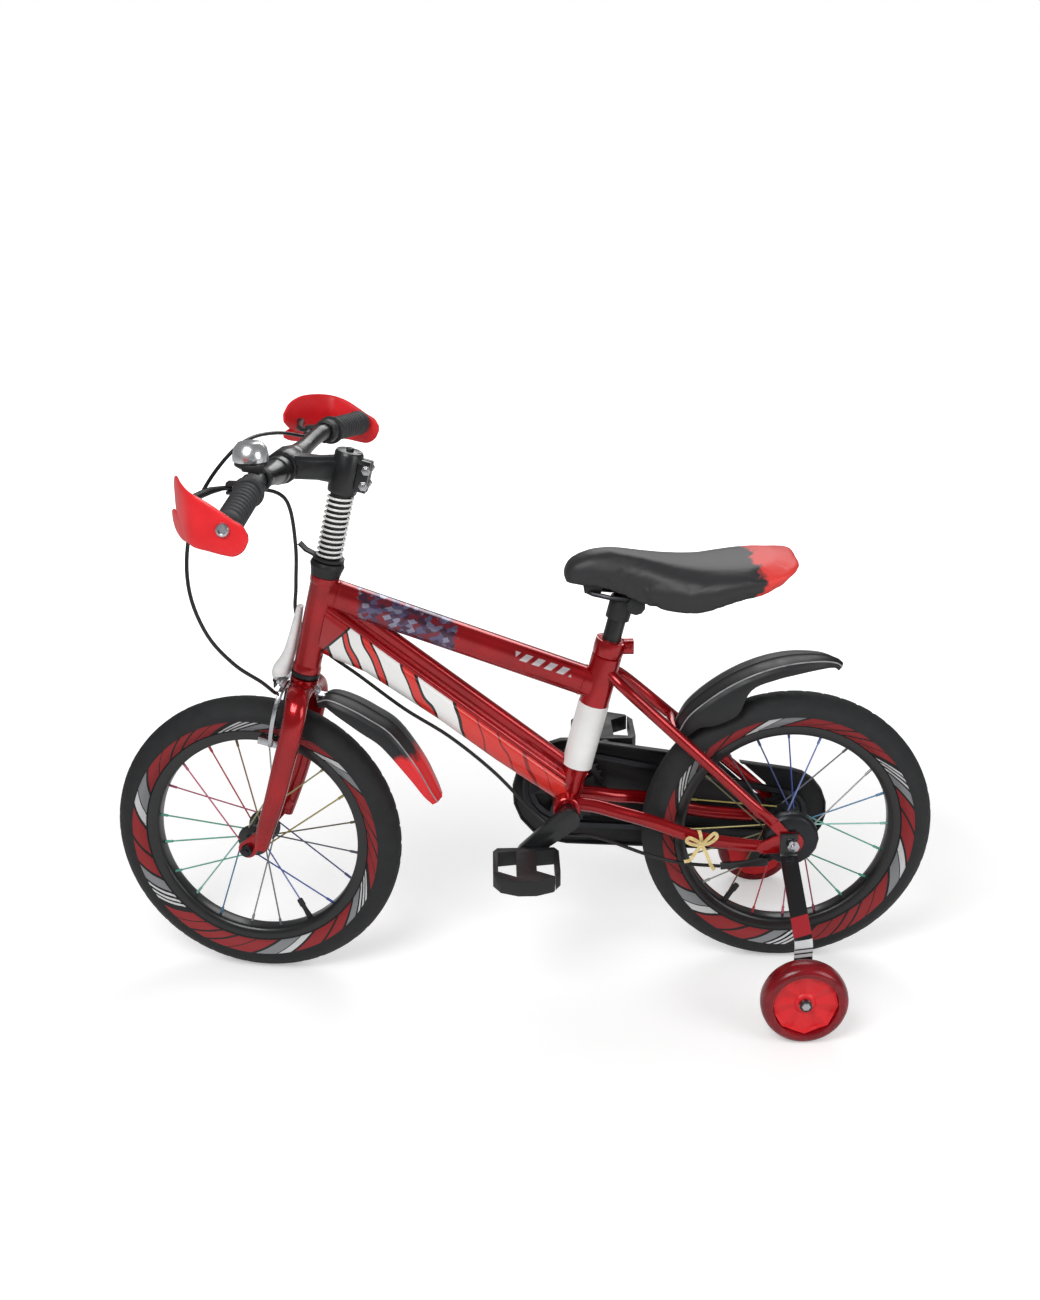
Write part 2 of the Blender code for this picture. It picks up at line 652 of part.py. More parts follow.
def make_stem(black):
    stem = on_head((0, STEM_BOTTOM), (0.0192, STEM_BOTTOM), (0.0198, STEM_BOTTOM + 0.0045),
                   (0.0192, STEM_TOP - 0.0040), (0.0170, STEM_TOP), (0, STEM_TOP))
    stem = finished("stem", stem, "steering", black)
    root = head_point(BAR_RISE - 0.0040)
    arm = swept([root, root.lerp(BAR_CENTRE, 0.45), BAR_CENTRE],
                [box_outline(0.0150, 0.0185, 0.005), box_outline(0.0128, 0.0150, 0.005),
                 box_outline(0.0175, 0.0155, 0.004)])
    arm = finished("stem_arm", arm, "steering", None, helper=True)
    half = 0.0215
    clamp = turned([(0, -half), (0.0200, -half), (0.0218, -half + 0.003), (0.0218, half - 0.003),
                    (0.0200, half), (0, half)], BAR_CENTRE, LEFT, 16)
    clamp = finished("stem_bar_clamp", clamp, "steering", None, helper=True)
    back = head_point(BAR_RISE - 0.0060) - HEAD_FORE * 0.0165
    ears = swept([back, back - HEAD_FORE * 0.0150], box_outline(0.0120, 0.0210, 0.004), HEAD_AXIS)
    ears = finished("stem_ears", ears, "steering", None, helper=True)
    slit = swept([back + HEAD_FORE * 0.006, back - HEAD_FORE * 0.030], box_outline(0.0015, 0.040), HEAD_AXIS)
    slit = finished("stem_slit", slit, "steering", None, helper=True)
    low, top = STEM_BOTTOM - 0.02, STEM_TOP - 0.0060
    bore = on_head((0, low), (CUP_BORE, low), (CUP_BORE, top), (0, top))
    bore = finished("stem_bore", bore, "steering", None, helper=True)
    bar_bore = rod(CLAMP_BORE, BAR_CENTRE - LEFT * 0.04, BAR_CENTRE + LEFT * 0.04, RING_FACETS)
    bar_bore = finished("stem_bar_bore", bar_bore, "steering", None, helper=True)
    join(stem, arm, clamp, ears)
    cut(stem, slit, bore, bar_bore)


def bar_path():
    """Half of the bar, from its middle to its left end."""
    inner = [(0.0, 0.0, 0.0), (0.0, 0.0220, 0.0), (0.0, 0.0255, 0.0), (0.0, 0.0400, 0.0002),
             (0.0, 0.0480, 0.0006), (-0.0005, 0.0760, 0.0028)]
    outer = [BAR_BEND_INNER, BAR_BEND_OUTER, BAR_LINE_START, BAR_LINE_END]
    return [BAR_CENTRE + Vector(p) for p in inner] + outer


BAR_BEND_INNER = BAR_CENTRE + Vector((-0.0015, 0.3137 * BAR_HALF, 0.0052))
BAR_BEND_OUTER = BAR_CENTRE + Vector((-0.0045, 0.4248 * BAR_HALF, 0.0095))
BAR_LINE_START = BAR_CENTRE + Vector((-0.0085, BAR_HALF - 0.1400, 0.0105))
BAR_LINE_END = BAR_CENTRE + Vector((-0.0210, BAR_HALF, -0.0040))


def on_bar(y, sign=1):
    """The point of the straight outer stretch of the bar at distance y from the middle."""
    t = (y - BAR_LINE_START.y) / (BAR_LINE_END.y - BAR_LINE_START.y)
    point = BAR_LINE_START.lerp(BAR_LINE_END, t)
    return Vector((point.x, sign * point.y, point.z))


def make_bar(black):
    half = bar_path()
    radii = [BAR_CLAMP_RADIUS, BAR_CLAMP_RADIUS, 0.0180, 0.0180, 0.0150, 0.0128,
             BAR_GRIP_RADIUS, BAR_GRIP_RADIUS, BAR_GRIP_RADIUS, BAR_GRIP_RADIUS]
    path = mirrored(reversed(half)) + half[1:]
    outlines = [round_outline(r, r, 10) for r in radii[:0:-1] + radii]
    finished("handlebar", swept(path, outlines), "steering", black)


def make_grip(side, sign, rubber):
    cap_y = BAR_HALF + 0.0040
    stations = [(GRIP_INNER_Y, 0.0195), (GRIP_INNER_Y + 0.004, 0.0195), (GRIP_INNER_Y + 0.006, 0.0158)]
    ribs = 3
    first, last = GRIP_INNER_Y + 0.010, cap_y - 0.016
    pitch = (last - first) / ribs
    for k in range(ribs):
        stations += [(first + pitch * k, 0.0168), (first + pitch * (k + 0.55), 0.0168),
                     (first + pitch * (k + 0.70), 0.0154)]
    stations += [(cap_y - 0.010, 0.0176), (cap_y - 0.0015, 0.0176), (cap_y, 0.0155)]
    path = [on_bar(y, sign) for y, _ in stations]
    outlines = [round_outline(r, r, 10) for _, r in stations]
    grip = finished("grip_" + side, swept(path, outlines), "steering", rubber)
    bore_radius = BAR_GRIP_RADIUS + GAP
    bore_path = [on_bar(GRIP_INNER_Y - 0.01, sign), on_bar(BAR_HALF + GAP, sign)]
    bore = swept(bore_path, round_outline(bore_radius, bore_radius, 10))
    cut(grip, finished("grip_bore_" + side, bore, "steering", None, helper=True))


def make_guard(side, sign, red):
    """The hand guard: a blade bolted over the bar's end, which sweeps forward and inward."""
    out = 0.0092
    stations = [
        (-0.0470, out, -0.0115, 0.0030), (-0.0420, out, -0.0120, 0.0130), (-0.0320, out, -0.0110, 0.0190),
        (-0.0190, out, -0.0055, 0.0220), (-0.0010, out - 0.001, 0.0015, 0.0260),
        (0.0190, 0.0020, 0.0065, 0.0290), (0.0370, -0.0200, 0.0110, 0.0295),
        (0.0510, -0.0470, 0.0150, 0.0270), (0.0610, -0.0700, 0.0170, 0.0190),
        (0.0660, -0.0840, 0.0170, 0.0070),
    ]
    path = [BAR_CENTRE + Vector((x, sign * (BAR_HALF + y), z)) for x, y, z, _ in stations]
    rings = []
    for (middle, across, _), (_, _, _, half) in zip(frames(path, UP), stations):
        rings.append([middle + across * a + UP * b for a, b in box_outline(0.0020, half, 0.0012)])
    guard = finished("hand_guard_" + side, loft(rings), "steering", red)
    centre = on_bar(BAR_HALF, sign)
    head = turned([(0, -0.0030), (0.0060, -0.0030), (0.0060, 0.0), (0.0085, 0.0), (0.0085, 0.0060),
                   (0.0055, 0.0078), (0, 0.0078)],
                  Vector((centre.x, sign * (BAR_HALF + out - 0.0010), centre.z)), LEFT * sign, 12)
    join(guard, finished("guard_bolt_" + side, head, "steering", None, helper=True))


def make_spring(steel):
    """The coil round the steerer between the headset and the stem, one unbroken wire."""
    start, end = SPRING_BOTTOM / HEAD_AXIS.z, STEM_BOTTOM / HEAD_AXIS.z
    low = start + SPRING_WIRE / 2 + GAP
    high = end - SPRING_WIRE / 2 - GAP
    per_turn = 8
    count = SPRING_TURNS * per_turn
    points = []
    for k in range(count + 1):
        turn = 2 * math.pi * k / per_turn
        along = low + (high - low) * k / count
        across = HEAD_FORE * math.cos(turn) + LEFT * math.sin(turn)
        points.append(HEAD_DATUM + HEAD_AXIS * along + across * SPRING_RADIUS)
    least = min(
        (a - b).length for i, a in enumerate(points) for b in points[i + per_turn // 2:]
    ) - SPRING_WIRE
    print("spring: least gap to itself", round(least * 1000, 2), "mm")
    cord("steerer_spring", points, "steering", steel, SPRING_WIRE / 2, 0)


def make_cable_guide(black):
    """The plate under the coil, with a hook in front that holds the rear brake cable."""
    low = SPRING_BOTTOM - 0.0033
    plate_shape = on_head((CUP_BORE, low), (0.0215, low), (0.0215, SPRING_BOTTOM), (CUP_BORE, SPRING_BOTTOM))
    guide = finished("cable_guide", plate_shape, "steering", black)
    base = head_point(SPRING_BOTTOM - 0.0015)
    hook = swept([base + HEAD_FORE * 0.0190, base + HEAD_FORE * 0.0310 + UP * 0.003,
                  base + HEAD_FORE * 0.0400 + UP * 0.010],
                 box_outline(0.0070, 0.0013), UP)
    join(guide, finished("guide_hook", hook, "steering", None, helper=True))


def make_perch(side, sign, black):
    """The brake lever's clamp on the bar, with the lugs that hold the lever's pin."""
    centre = on_bar(PERCH_Y, sign)
    way = (on_bar(BAR_HALF, sign) - centre).normalized()
    half = 0.0085
    ring = turned([(BAR_BORE, -half), (0.0165, -half), (0.0165, half), (BAR_BORE, half)],
                  centre, way, RING_FACETS)
    ring = finished("lever_perch_" + side, ring, "steering", black)
    front = centre + FORWARD * 0.0140
    block = swept([front - FORWARD * 0.001, front + FORWARD * 0.0150], box_outline(0.0080, 0.0075, 0.002))
    block = finished("perch_block_" + side, block, "steering", None, helper=True)
    barrel_start = centre + Vector((0.0225, 0, 0))
    barrel = rod(0.0042, barrel_start, barrel_start - LEFT * sign * 0.0260, 8)
    barrel = finished("perch_barrel_" + side, barrel, "steering", None, helper=True)
    join(ring, block, barrel)
    slot = swept([front + FORWARD * 0.0050, front + FORWARD * 0.0250], box_outline(0.0120, 0.0032))
    cut(ring, finished("perch_slot_" + side, slot, "steering", None, helper=True))


def lever_pivot(sign):
    return on_bar(PERCH_Y, sign) + FORWARD * 0.0230


def make_lever(side, sign, black):
    group = "lever_pivot_" + side
    pivot = lever_pivot(sign)
    shape = [(0.0, 0.0, 0.0), (0.0110, 0.0040, 0.0), (0.0210, 0.0180, 0.0), (0.0260, 0.0380, 0.0),
             (0.0290, 0.0560, 0.0), (0.0330, 0.0640, 0.0)]
    sizes = [(0.0060, 0.0028), (0.0060, 0.0028), (0.0050, 0.0045), (0.0050, 0.0048),
             (0.0048, 0.0046), (0.0060, 0.0056)]
    path = [pivot + Vector((x, sign * y, z)) for x, y, z in shape]
    outlines = [round_outline(w, h, 8) for w, h in sizes]
    finished("brake_lever_" + side, swept(path, outlines), group, black)


# Bell

def bell_centre():
    """The point of the bar that the bell's clamp holds."""
    return BAR_BEND_INNER.lerp(BAR_BEND_OUTER, 0.75)


def make_bell(black, chrome):
    centre = bell_centre()
    lean = (BAR_BEND_OUTER - BAR_BEND_INNER).normalized()
    ring = turned([(BAR_BORE, -0.0070), (0.0155, -0.0070), (0.0155, 0.0070), (BAR_BORE, 0.0070)],
                  centre, lean, RING_FACETS)
    ring = finished("bell_base", ring, "steering", black)
    top = centre + Vector((0.0100, 0, 0.0130))
    base = turned([(0, 0), (0.0130, 0), (0.0205, 0.0050), (0.0205, 0.0100), (0, 0.0100)],
                  top, UP, 16)
    join(ring, finished("bell_base_plate", base, "steering", None, helper=True))
    dome = turned([(0, 0.0103), (0.0222, 0.0103), (0.0225, 0.0170), (0.0205, 0.0265), (0.0150, 0.0330),
                   (0, 0.0366)], top, UP, 16)
    finished("bell_dome", dome, "steering", chrome)


def bell_pivot():
    return bell_centre() + Vector((0.0100, 0.0240, 0.0180))


def make_bell_lever(black):
    pivot = bell_pivot()
    shape = swept([pivot + Vector((0.004, -0.0005, 0)), pivot, pivot + Vector((-0.010, 0.0015, 0)),
                   pivot + Vector((-0.024, 0.0010, 0.001))],
                  [box_outline(0.0018, 0.0030), box_outline(0.0030, 0.0035), box_outline(0.0020, 0.0040),
                   box_outline(0.0020, 0.0050)])
    finished("bell_lever", shape, "bell_pivot", black)


# Front brake

BRAKE_PIVOT_HEIGHT = -0.0755


def brake_pivot():
    return head_point(BRAKE_PIVOT_HEIGHT) + HEAD_FORE * 0.0190


def make_front_brake(steel):
    pivot = brake_pivot()
    down = -HEAD_AXIS
    drop = pivot.z - WHEEL_RADIUS - RIM_RADIUS + 0.0139
    for side, sign, offset in (("left", 1, 0.0), ("right", -1, 0.0068)):
        group = "brake_pivot_" + side
        base = pivot + HEAD_FORE * (offset + 0.0030)
        flat = [(0.0, 0.0), (0.016, -0.004), (0.033, 0.004), (0.041, 0.248 * drop), (0.0420, 0.495 * drop),
                (0.0375, 0.767 * drop), (0.0300, drop + 0.0022)]
        path = [base + LEFT * sign * a + down * b for a, b in flat]
        sizes = [(0.0060, 0.0028)] + [(0.0052, 0.0028)] * 5 + [(0.0040, 0.0028)]
        arm = swept(path, [box_outline(w, h) for w, h in sizes], HEAD_FORE)
        arm = finished("front_brake_arm_" + side, arm, group, steel)
        shoe_middle = base + LEFT * sign * 0.0235 + down * drop
        along = (FRONT_HUB - shoe_middle).cross(LEFT).normalized()
        shoe = swept([shoe_middle - along * 0.019, shoe_middle + along * 0.019],
                     box_outline(0.0060, 0.0050), LEFT.cross(along))
        join(arm, finished("brake_shoe_" + side, shoe, group, None, helper=True))
        hole = rod(0.0036, base - HEAD_FORE * 0.02, base + HEAD_FORE * 0.02, 8)
        boss = rod(0.0078, base - HEAD_FORE * 0.0028, base + HEAD_FORE * 0.0028, 10)
        join(arm, finished("brake_boss_" + side, boss, group, None, helper=True))
        cut(arm, finished("brake_hole_" + side, hole, group, None, helper=True))
    bolt = turned([(0, -0.0100), (0.0030, -0.0100), (0.0030, 0.0131), (0.0055, 0.0131),
                   (0.0055, 0.0180), (0, 0.0190)], pivot, HEAD_FORE, 12)
    join(bpy.data.objects["fork"], finished("front_brake_bolt", bolt, "steering", None, helper=True))


# Wheels

def make_tyre(name, centre, group, rubber):
    w, height = TYRE_HALF_WIDTH, WHEEL_RADIUS - RIM_RADIUS
    half = [(0.900, 0.50 * w), (0.656, 0.93 * w), (0.400, w), (0.133, 0.76 * w)]
    half = [(RIM_RADIUS + share * height, y) for share, y in half]
    bead = RIM_HALF_WIDTH - 0.0018 - GAP
    profile = [(WHEEL_RADIUS, 0.0)] + half + [(RIM_RADIUS + 0.0008, bead), (RIM_BED + GAP, bead)]
    profile += [(r, -y) for r, y in reversed(profile[1:])]
    finished(name, turned(profile, centre, LEFT, WHEEL_FACETS), group, rubber)


def make_rim(name, centre, group, black):
    w = RIM_HALF_WIDTH
    half = [(RIM_BED, w - 0.0018), (RIM_RADIUS, w - 0.0018), (RIM_RADIUS, w), (RIM_INNER, w - 0.0050)]
    profile = half + [(r, -y) for r, y in reversed(half)]
    finished(name, turned(profile, centre, LEFT, WHEEL_FACETS), group, black)


def make_spokes(name, centre, group, steel, right_boss=0.0, left_drum=False):
    """The hub with its spokes, which lean in turn one way and the other along each flange."""
    flange, middle = FLANGE_RADIUS, FLANGE_MIDDLE
    end = HUB_HALF_WIDTH
    left = [(0.0125, middle - 0.0024), (flange, middle - 0.0015), (flange, middle + 0.0015)]
    right = [(r, -y) for r, y in reversed(left)]
    left_end = [(0.0120, middle + 0.0018), (0.0085, 0.0300), (0.0085, end)]
    right_end = [(r, -y) for r, y in reversed(left_end)]
    if left_drum:
        left_end = [(0.0360, middle + 0.0016), (0.0360, 0.0430), (0.0120, 0.0430), (0.0085, end)]
    if right_boss:
        right_end = [(0.0085, -end), (0.0150, -0.0400), (0.0150, -middle - 0.0018)]
    profile = [(HUB_BORE, -end)] + right_end + right + left + left_end + [(HUB_BORE, end)]
    hub = finished(name, turned(profile, centre, LEFT, 12), group, steel)
    lean = math.radians(45)
    spokes = bmesh.new()
    for k in range(SPOKE_COUNT):
        side = 1 if k % 2 else -1
        way = 1 if (k // 2) % 2 else -1
        at_rim = 2 * math.pi * k / SPOKE_COUNT
        at_hub = at_rim + way * lean
        inner, outer = flange - 0.0035, RIM_INNER * math.cos(math.pi / WHEEL_FACETS) - 2 * GAP
        a = centre + Vector((math.cos(at_hub) * inner, side * (middle + way * 0.0015),
                             math.sin(at_hub) * inner))
        b = centre + Vector((math.cos(at_rim) * outer, side * 0.0030, math.sin(at_rim) * outer))
        one = swept([a, b], round_outline(SPOKE_RADIUS, SPOKE_RADIUS, 4), LEFT)
        mesh = bpy.data.meshes.new("spoke")
        one.to_mesh(mesh)
        one.free()
        spokes.from_mesh(mesh)
        bpy.data.meshes.remove(mesh)
    join(hub, finished(name + "_laced", spokes, group, None, helper=True))


def make_axle(name, centre, group, steel, left_nut, right_nut):
    """The axle with its cones inside the dropouts and its nuts outside them."""
    cone_in, cone_out = HUB_HALF_WIDTH + 0.0003, DROPOUT_INNER - GAP
    if group == "steering":
        cone_out = 0.0515 - GAP
    half_left = [(AXLE_RADIUS, cone_in), (0.0075, cone_in), (0.0075, cone_out), (AXLE_RADIUS, cone_out),
                 (AXLE_RADIUS, left_nut), (0.0085, left_nut), (0.0085, left_nut + 0.0080),
                 (AXLE_RADIUS, left_nut + 0.0080), (AXLE_RADIUS, left_nut + 0.0120), (0, left_nut + 0.0120)]
    half_right = [(AXLE_RADIUS, -cone_in), (0.0075, -cone_in), (0.0075, -cone_out),
                  (AXLE_RADIUS, -cone_out), (AXLE_RADIUS, -right_nut), (0.0085, -right_nut),
                  (0.0085, -right_nut - 0.0080), (AXLE_RADIUS, -right_nut - 0.0080),
                  (AXLE_RADIUS, -right_nut - 0.0120), (0, -right_nut - 0.0120)]
    finished(name, turned(half_right[::-1] + half_left, centre, LEFT, 8), group, steel)


# Drive

def toothed_outline(centre, teeth, pitch_radius, start=0.0):
    root, tip = pitch_radius - 0.0039, pitch_radius + 0.0012
    points = []
    for k in range(teeth):
        step = 2 * math.pi / teeth
        for share, radius in ((-0.28, root), (-0.10, tip), (0.10, tip), (0.28, root)):
            t = start + (k + share) * step
            points.append((centre.x + radius * math.cos(t), centre.z + radius * math.sin(t)))
    return points


def make_crankset(black):
    left_in, right_in = LEFT_ARM_Y, RIGHT_ARM_Y
    profile = [(0, right_in - 0.004), (0.0155, right_in - 0.002), (0.0155, -0.0434),
               (0.0155, -0.0346), (SPINDLE_RADIUS, -0.0346), (SPINDLE_RADIUS, 0.0346),
               (0.0120, 0.0346), (0.0120, left_in + 0.004), (0, left_in + 0.004)]
    crank = finished("crankset", turned(profile, BOTTOM_BRACKET, LEFT, 14), "crank", black)
    middle = (BOTTOM_BRACKET.x, BOTTOM_BRACKET.z)
    for side, sign, inner in (("left", 1, left_in), ("right", -1, right_in - ARM_THICKNESS)):
        end = BOTTOM_BRACKET + CRANK_REACH * sign
        outline = strap_outline(middle, 0.0165, (end.x, end.z), 0.0115, 6)
        arm = plate(outline, inner, inner + ARM_THICKNESS)
        join(crank, finished("crank_arm_" + side, arm, "crank", None, helper=True))
    for side, sign, inner in (("left", 1, left_in), ("right", -1, right_in)):
        end = BOTTOM_BRACKET + CRANK_REACH * sign
        far = sign * (abs(inner) + ARM_THICKNESS)
        pin = rod(0.0045, (end.x, far - sign * 0.004, end.z), (end.x, far + sign * 0.0880, end.z), 10)
        join(crank, finished("pedal_pin_" + side, pin, "crank", None, helper=True))


def make_chainring(steel):
    outline = toothed_outline(BOTTOM_BRACKET, RING_TEETH, RING_RADIUS)
    ring = finished("chainring", plate(outline, CHAIN_PLANE - 0.0012, CHAIN_PLANE + 0.0012), "crank", steel)
    bore = rod(0.0155 + 2 * GAP, BOTTOM_BRACKET - LEFT * 0.06, BOTTOM_BRACKET - LEFT * 0.03, 14)
    cut(ring, finished("chainring_bore", bore, "crank", None, helper=True))
    windows = 5
    for k in range(windows):
        middle = 2 * math.pi * (k + 0.5) / windows
        spread = math.radians(24)
        centre = (BOTTOM_BRACKET.x, BOTTOM_BRACKET.z)
        outer = arc(centre, 0.0440, middle - spread, middle + spread, 2)
        inner = arc(centre, 0.0245, middle + spread * 0.7, middle - spread * 0.7, 1)
        window = plate(outer + inner, CHAIN_PLANE - 0.01, CHAIN_PLANE + 0.01)
        cut(ring, finished("chainring_window_%d" % k, window, "crank", None, helper=True))


def make_sprocket(steel):
    outline = toothed_outline(REAR_HUB, SPROCKET_TEETH, SPROCKET_RADIUS)
    sprocket = plate(outline, CHAIN_PLANE - 0.0012, CHAIN_PLANE + 0.0012)
    sprocket = finished("freewheel_sprocket", sprocket, "freewheel", steel)
    body = turned([(0, -0.0445), (0.0200, -0.0445), (0.0245, -0.0428), (0.0245, -0.0300), (0, -0.0300)],
                  REAR_HUB, LEFT, 12)
    bore = rod(0.0150 + 2 * RUNNING_GAP, REAR_HUB - LEFT * 0.06, REAR_HUB - LEFT * 0.02, 12)
    join(sprocket, finished("freewheel_body", body, "freewheel", None, helper=True))
    cut(sprocket, finished("freewheel_bore", bore, "freewheel", None, helper=True))


def make_chain(steel):
    """The chain's loop: side plates with a slot between them for the teeth."""
    outline = strap_outline((REAR_HUB.x, REAR_HUB.z), SPROCKET_RADIUS,
                            (BOTTOM_BRACKET.x, BOTTOM_BRACKET.z), RING_RADIUS, 10)
    middle = (REAR_HUB + BOTTOM_BRACKET) / 2
    section = [(-0.0042, -0.0038), (0.0042, -0.0038), (0.0042, 0.0038), (-0.0042, 0.0038),
               (-0.0042, 0.0018), (0.0029, 0.0018), (0.0029, -0.0018), (-0.0042, -0.0018)]
    rings = []
    for k, (x, z) in enumerate(outline):
        before, after = outline[k - 1], outline[(k + 1) % len(outline)]
        tangent = Vector((after[0] - before[0], 0, after[1] - before[1])).normalized()
        outward = tangent.cross(LEFT)
        if outward.dot(Vector((x, 0, z)) - middle) < 0:
            outward = -outward
        centre = Vector((x, CHAIN_PLANE, z))
        rings.append([centre + outward * n + LEFT * y for n, y in section])
    finished("chain", closed_loft(rings), "bike", steel)


def make_chain_case(black):
    """The outer half of the chain case: a plate with a rim, slotted for the seat stay."""
    outer = -DROPOUT_INNER - DROPOUT_THICKNESS - GAP - CASE_THICKNESS
    inner = outer + CASE_THICKNESS
    rear = (REAR_HUB.x, REAR_HUB.z)
    front = (CASE_FRONT_CENTRE.x, CASE_FRONT_CENTRE.z)
    face = strap_outline(rear, CASE_REAR_RADIUS, front, CASE_FRONT_RADIUS, 10)
    case = finished("chain_case", plate(face, outer, inner + 0.0080), "bike", black)
    lip = strap_outline(rear, CASE_REAR_RADIUS - 0.0025, front, CASE_FRONT_RADIUS - 0.0025, 10)
    hollow = finished("chain_case_hollow", plate(lip, inner, inner + 0.02), "bike", None, helper=True)
    middle = (BOTTOM_BRACKET.x, BOTTOM_BRACKET.z)
    hole = plate(arc(middle, 0.0220, 0, 2 * math.pi * 15 / 16, 15), outer - 0.01, inner + 0.02)
    hole = finished("chain_case_hole", hole, "bike", None, helper=True)
    axle = rod(AXLE_RADIUS + 2 * GAP, REAR_HUB - LEFT * 0.04, REAR_HUB - LEFT * 0.07, 8)
    axle = finished("chain_case_axle_hole", axle, "bike", None, helper=True)
    stay = stay_line()
    ends = [stay[-1].lerp(stay[3], 0.020), stay[4].lerp(stay[3], 0.362)]
    width = SEAT_STAY_RADIUS + 0.0025
    slot = plate(strap_outline((ends[0].x, ends[0].z), width, (ends[1].x, ends[1].z), width, 6),
                 outer - 0.01, inner + 0.02)
    slot = finished("chain_case_slot", slot, "bike", None, helper=True)
    cut(case, hollow, hole, axle, slot)


def pedal_centre(sign):
    """The middle of a pedal, outside its crank arm."""
    end = BOTTOM_BRACKET + CRANK_REACH * sign
    arm = LEFT_ARM_Y + ARM_THICKNESS if sign > 0 else RIGHT_ARM_Y - ARM_THICKNESS
    return Vector((end.x, arm + sign * 0.0510, end.z))


def make_pedal(side, sign, black):
    """A cage of two windows round a barrel, pointed at its outer end."""
    group = "pedal_axle_" + side
    centre = pedal_centre(sign)
    fore, half, thick = 0.0450, 0.0480, 0.0110
    outline = [(-fore + 0.006, -half), (fore - 0.006, -half), (fore, -half + 0.010),
               (fore, half - 0.028), (fore - 0.010, half - 0.010), (0.012, half), (-0.012, half),
               (-fore + 0.010, half - 0.010), (-fore, half - 0.028), (-fore, -half + 0.010)]
    rings = [[centre + Vector((x, sign * y, z)) for x, y in outline] for z in (-thick, thick)]
    pedal = finished("pedal_" + side, loft(rings), group, black)
    for name, low, high in (("front", 0.0135, fore - 0.007), ("rear", -fore + 0.007, -0.0135)):
        window = [(low, -half + 0.009), (high, -half + 0.013), (high, half - 0.030), (low, half - 0.014)]
        rings = [[centre + Vector((x, sign * y, z)) for x, y in window] for z in (-0.02, 0.02)]
        cut(pedal, finished("pedal_window_%s_%s" % (name, side), loft(rings), group, None, helper=True))
    bore = rod(0.0045 + RUNNING_GAP, centre - LEFT * sign * 0.06, centre + LEFT * sign * 0.0375, 12)
    cut(pedal, finished("pedal_bore_" + side, bore, group, None, helper=True))


# Band brake at the rear hub

BAND_ARM_HALF = 0.0020


def band_arm_pivot():
    return REAR_HUB + Vector((0.0360, 0.0400, -0.0355))


def make_band_brake(black, silver):
    housing = turned([(0.0092, 0.0497), (0.0092, 0.0470), (0.0372, 0.0440), (0.0372, 0.0300),
                      (0.0390, 0.0300), (0.0390, 0.0425), (0.0350, 0.0470), (0.0200, 0.0497)],
                     REAR_HUB, LEFT, 16)
    housing = finished("band_brake_housing", housing, "bike", silver)
    pivot = band_arm_pivot()
    out = Vector((pivot.x, 0, pivot.z - WHEEL_RADIUS)).normalized()
    across = out.cross(LEFT)
    root = REAR_HUB + out * 0.0377
    tip = Vector((pivot.x, 0, pivot.z)) + out * 0.0060
    corners = [root + across * 0.0090, tip + across * 0.0050, tip - across * 0.0050, root - across * 0.0090]
    lug = plate([(c.x, c.z) for c in corners], 0.0310, pivot.y - BAND_ARM_HALF - GAP)
    join(housing, finished("band_arm_lug", lug, "bike", None, helper=True))
    arm = swept([pivot + Vector((-0.006, 0, 0.001)), pivot, pivot + Vector((0.030, 0.0, -0.003)),
                 pivot + Vector((0.0600, 0.0, -0.006))],
                [box_outline(BAND_ARM_HALF, w) for w in (0.0050, 0.0065, 0.0045, 0.0050)])
    finished("band_brake_arm", arm, "band_arm", black)


# Training wheels

def make_training(side, sign, grey, red):
    mount = sign * (DROPOUT_INNER + DROPOUT_THICKNESS + GAP)
    if sign < 0:
        mount = mount - CASE_THICKNESS - GAP
    top_y = mount + sign * BRACKET_THICKNESS / 2
    low_y = sign * (TRAINING_Y - TRAINING_HALF_WIDTH - 0.0035 - BRACKET_THICKNESS / 2)
    inward = (BRACKET_WIDTH / 2, BRACKET_THICKNESS / 2)
    bends = [(top_y, WHEEL_RADIUS + 0.0160), (top_y, WHEEL_RADIUS - 0.012),
             (top_y + sign * 0.004, WHEEL_RADIUS - 0.018), (low_y - sign * 0.005, TRAINING_RADIUS + 0.074),
             (low_y, TRAINING_RADIUS + 0.067), (low_y, TRAINING_RADIUS - 0.014)]
    path = [Vector((TRAINING_X, y, z)) for y, z in bends]
    bracket = swept(path, box_outline(inward[1], inward[0]), FORWARD)
    bracket = finished("training_wheel_bracket_" + side, bracket, "bike", grey)
    hole = rod(AXLE_RADIUS + 2 * GAP, REAR_HUB + LEFT * sign * 0.045, REAR_HUB + LEFT * sign * 0.075, 8)
    centre = Vector((TRAINING_X, sign * TRAINING_Y, TRAINING_RADIUS))
    away = LEFT * sign
    t = TRAINING_HALF_WIDTH
    inner = abs(low_y) - TRAINING_Y
    bolt = turned([(0, inner - 0.004), (0.0065, inner - 0.004), (0.0065, inner), (0.0045, inner),
                   (0.0045, inner + 0.002), (0.0075, inner + 0.002), (0.0075, -t - GAP), (0.0045, -t - GAP),
                   (0.0045, t - 0.0085), (0.0085, t - 0.0085), (0.0085, t - 0.001), (0, t - 0.001)],
                  centre, away, 8)
    join(bracket, finished("training_bolt_" + side, bolt, "bike", None, helper=True))
    cut(bracket, finished("bracket_hole_" + side, hole, "bike", None, helper=True))
    wheel = turned([(0.0050, -t), (0.0510, -t), (TRAINING_RADIUS - 0.0008, -0.0090),
                    (TRAINING_RADIUS, 0.0), (TRAINING_RADIUS - 0.0008, 0.0090), (0.0510, t), (0.0450, t),
                    (0.0420, t - 0.005), (0.0120, t - 0.009), (0.0050, t - 0.009)], centre, away, 16)
    finished("training_wheel_" + side, wheel, "training_axle_" + side, red)


# Mudguards

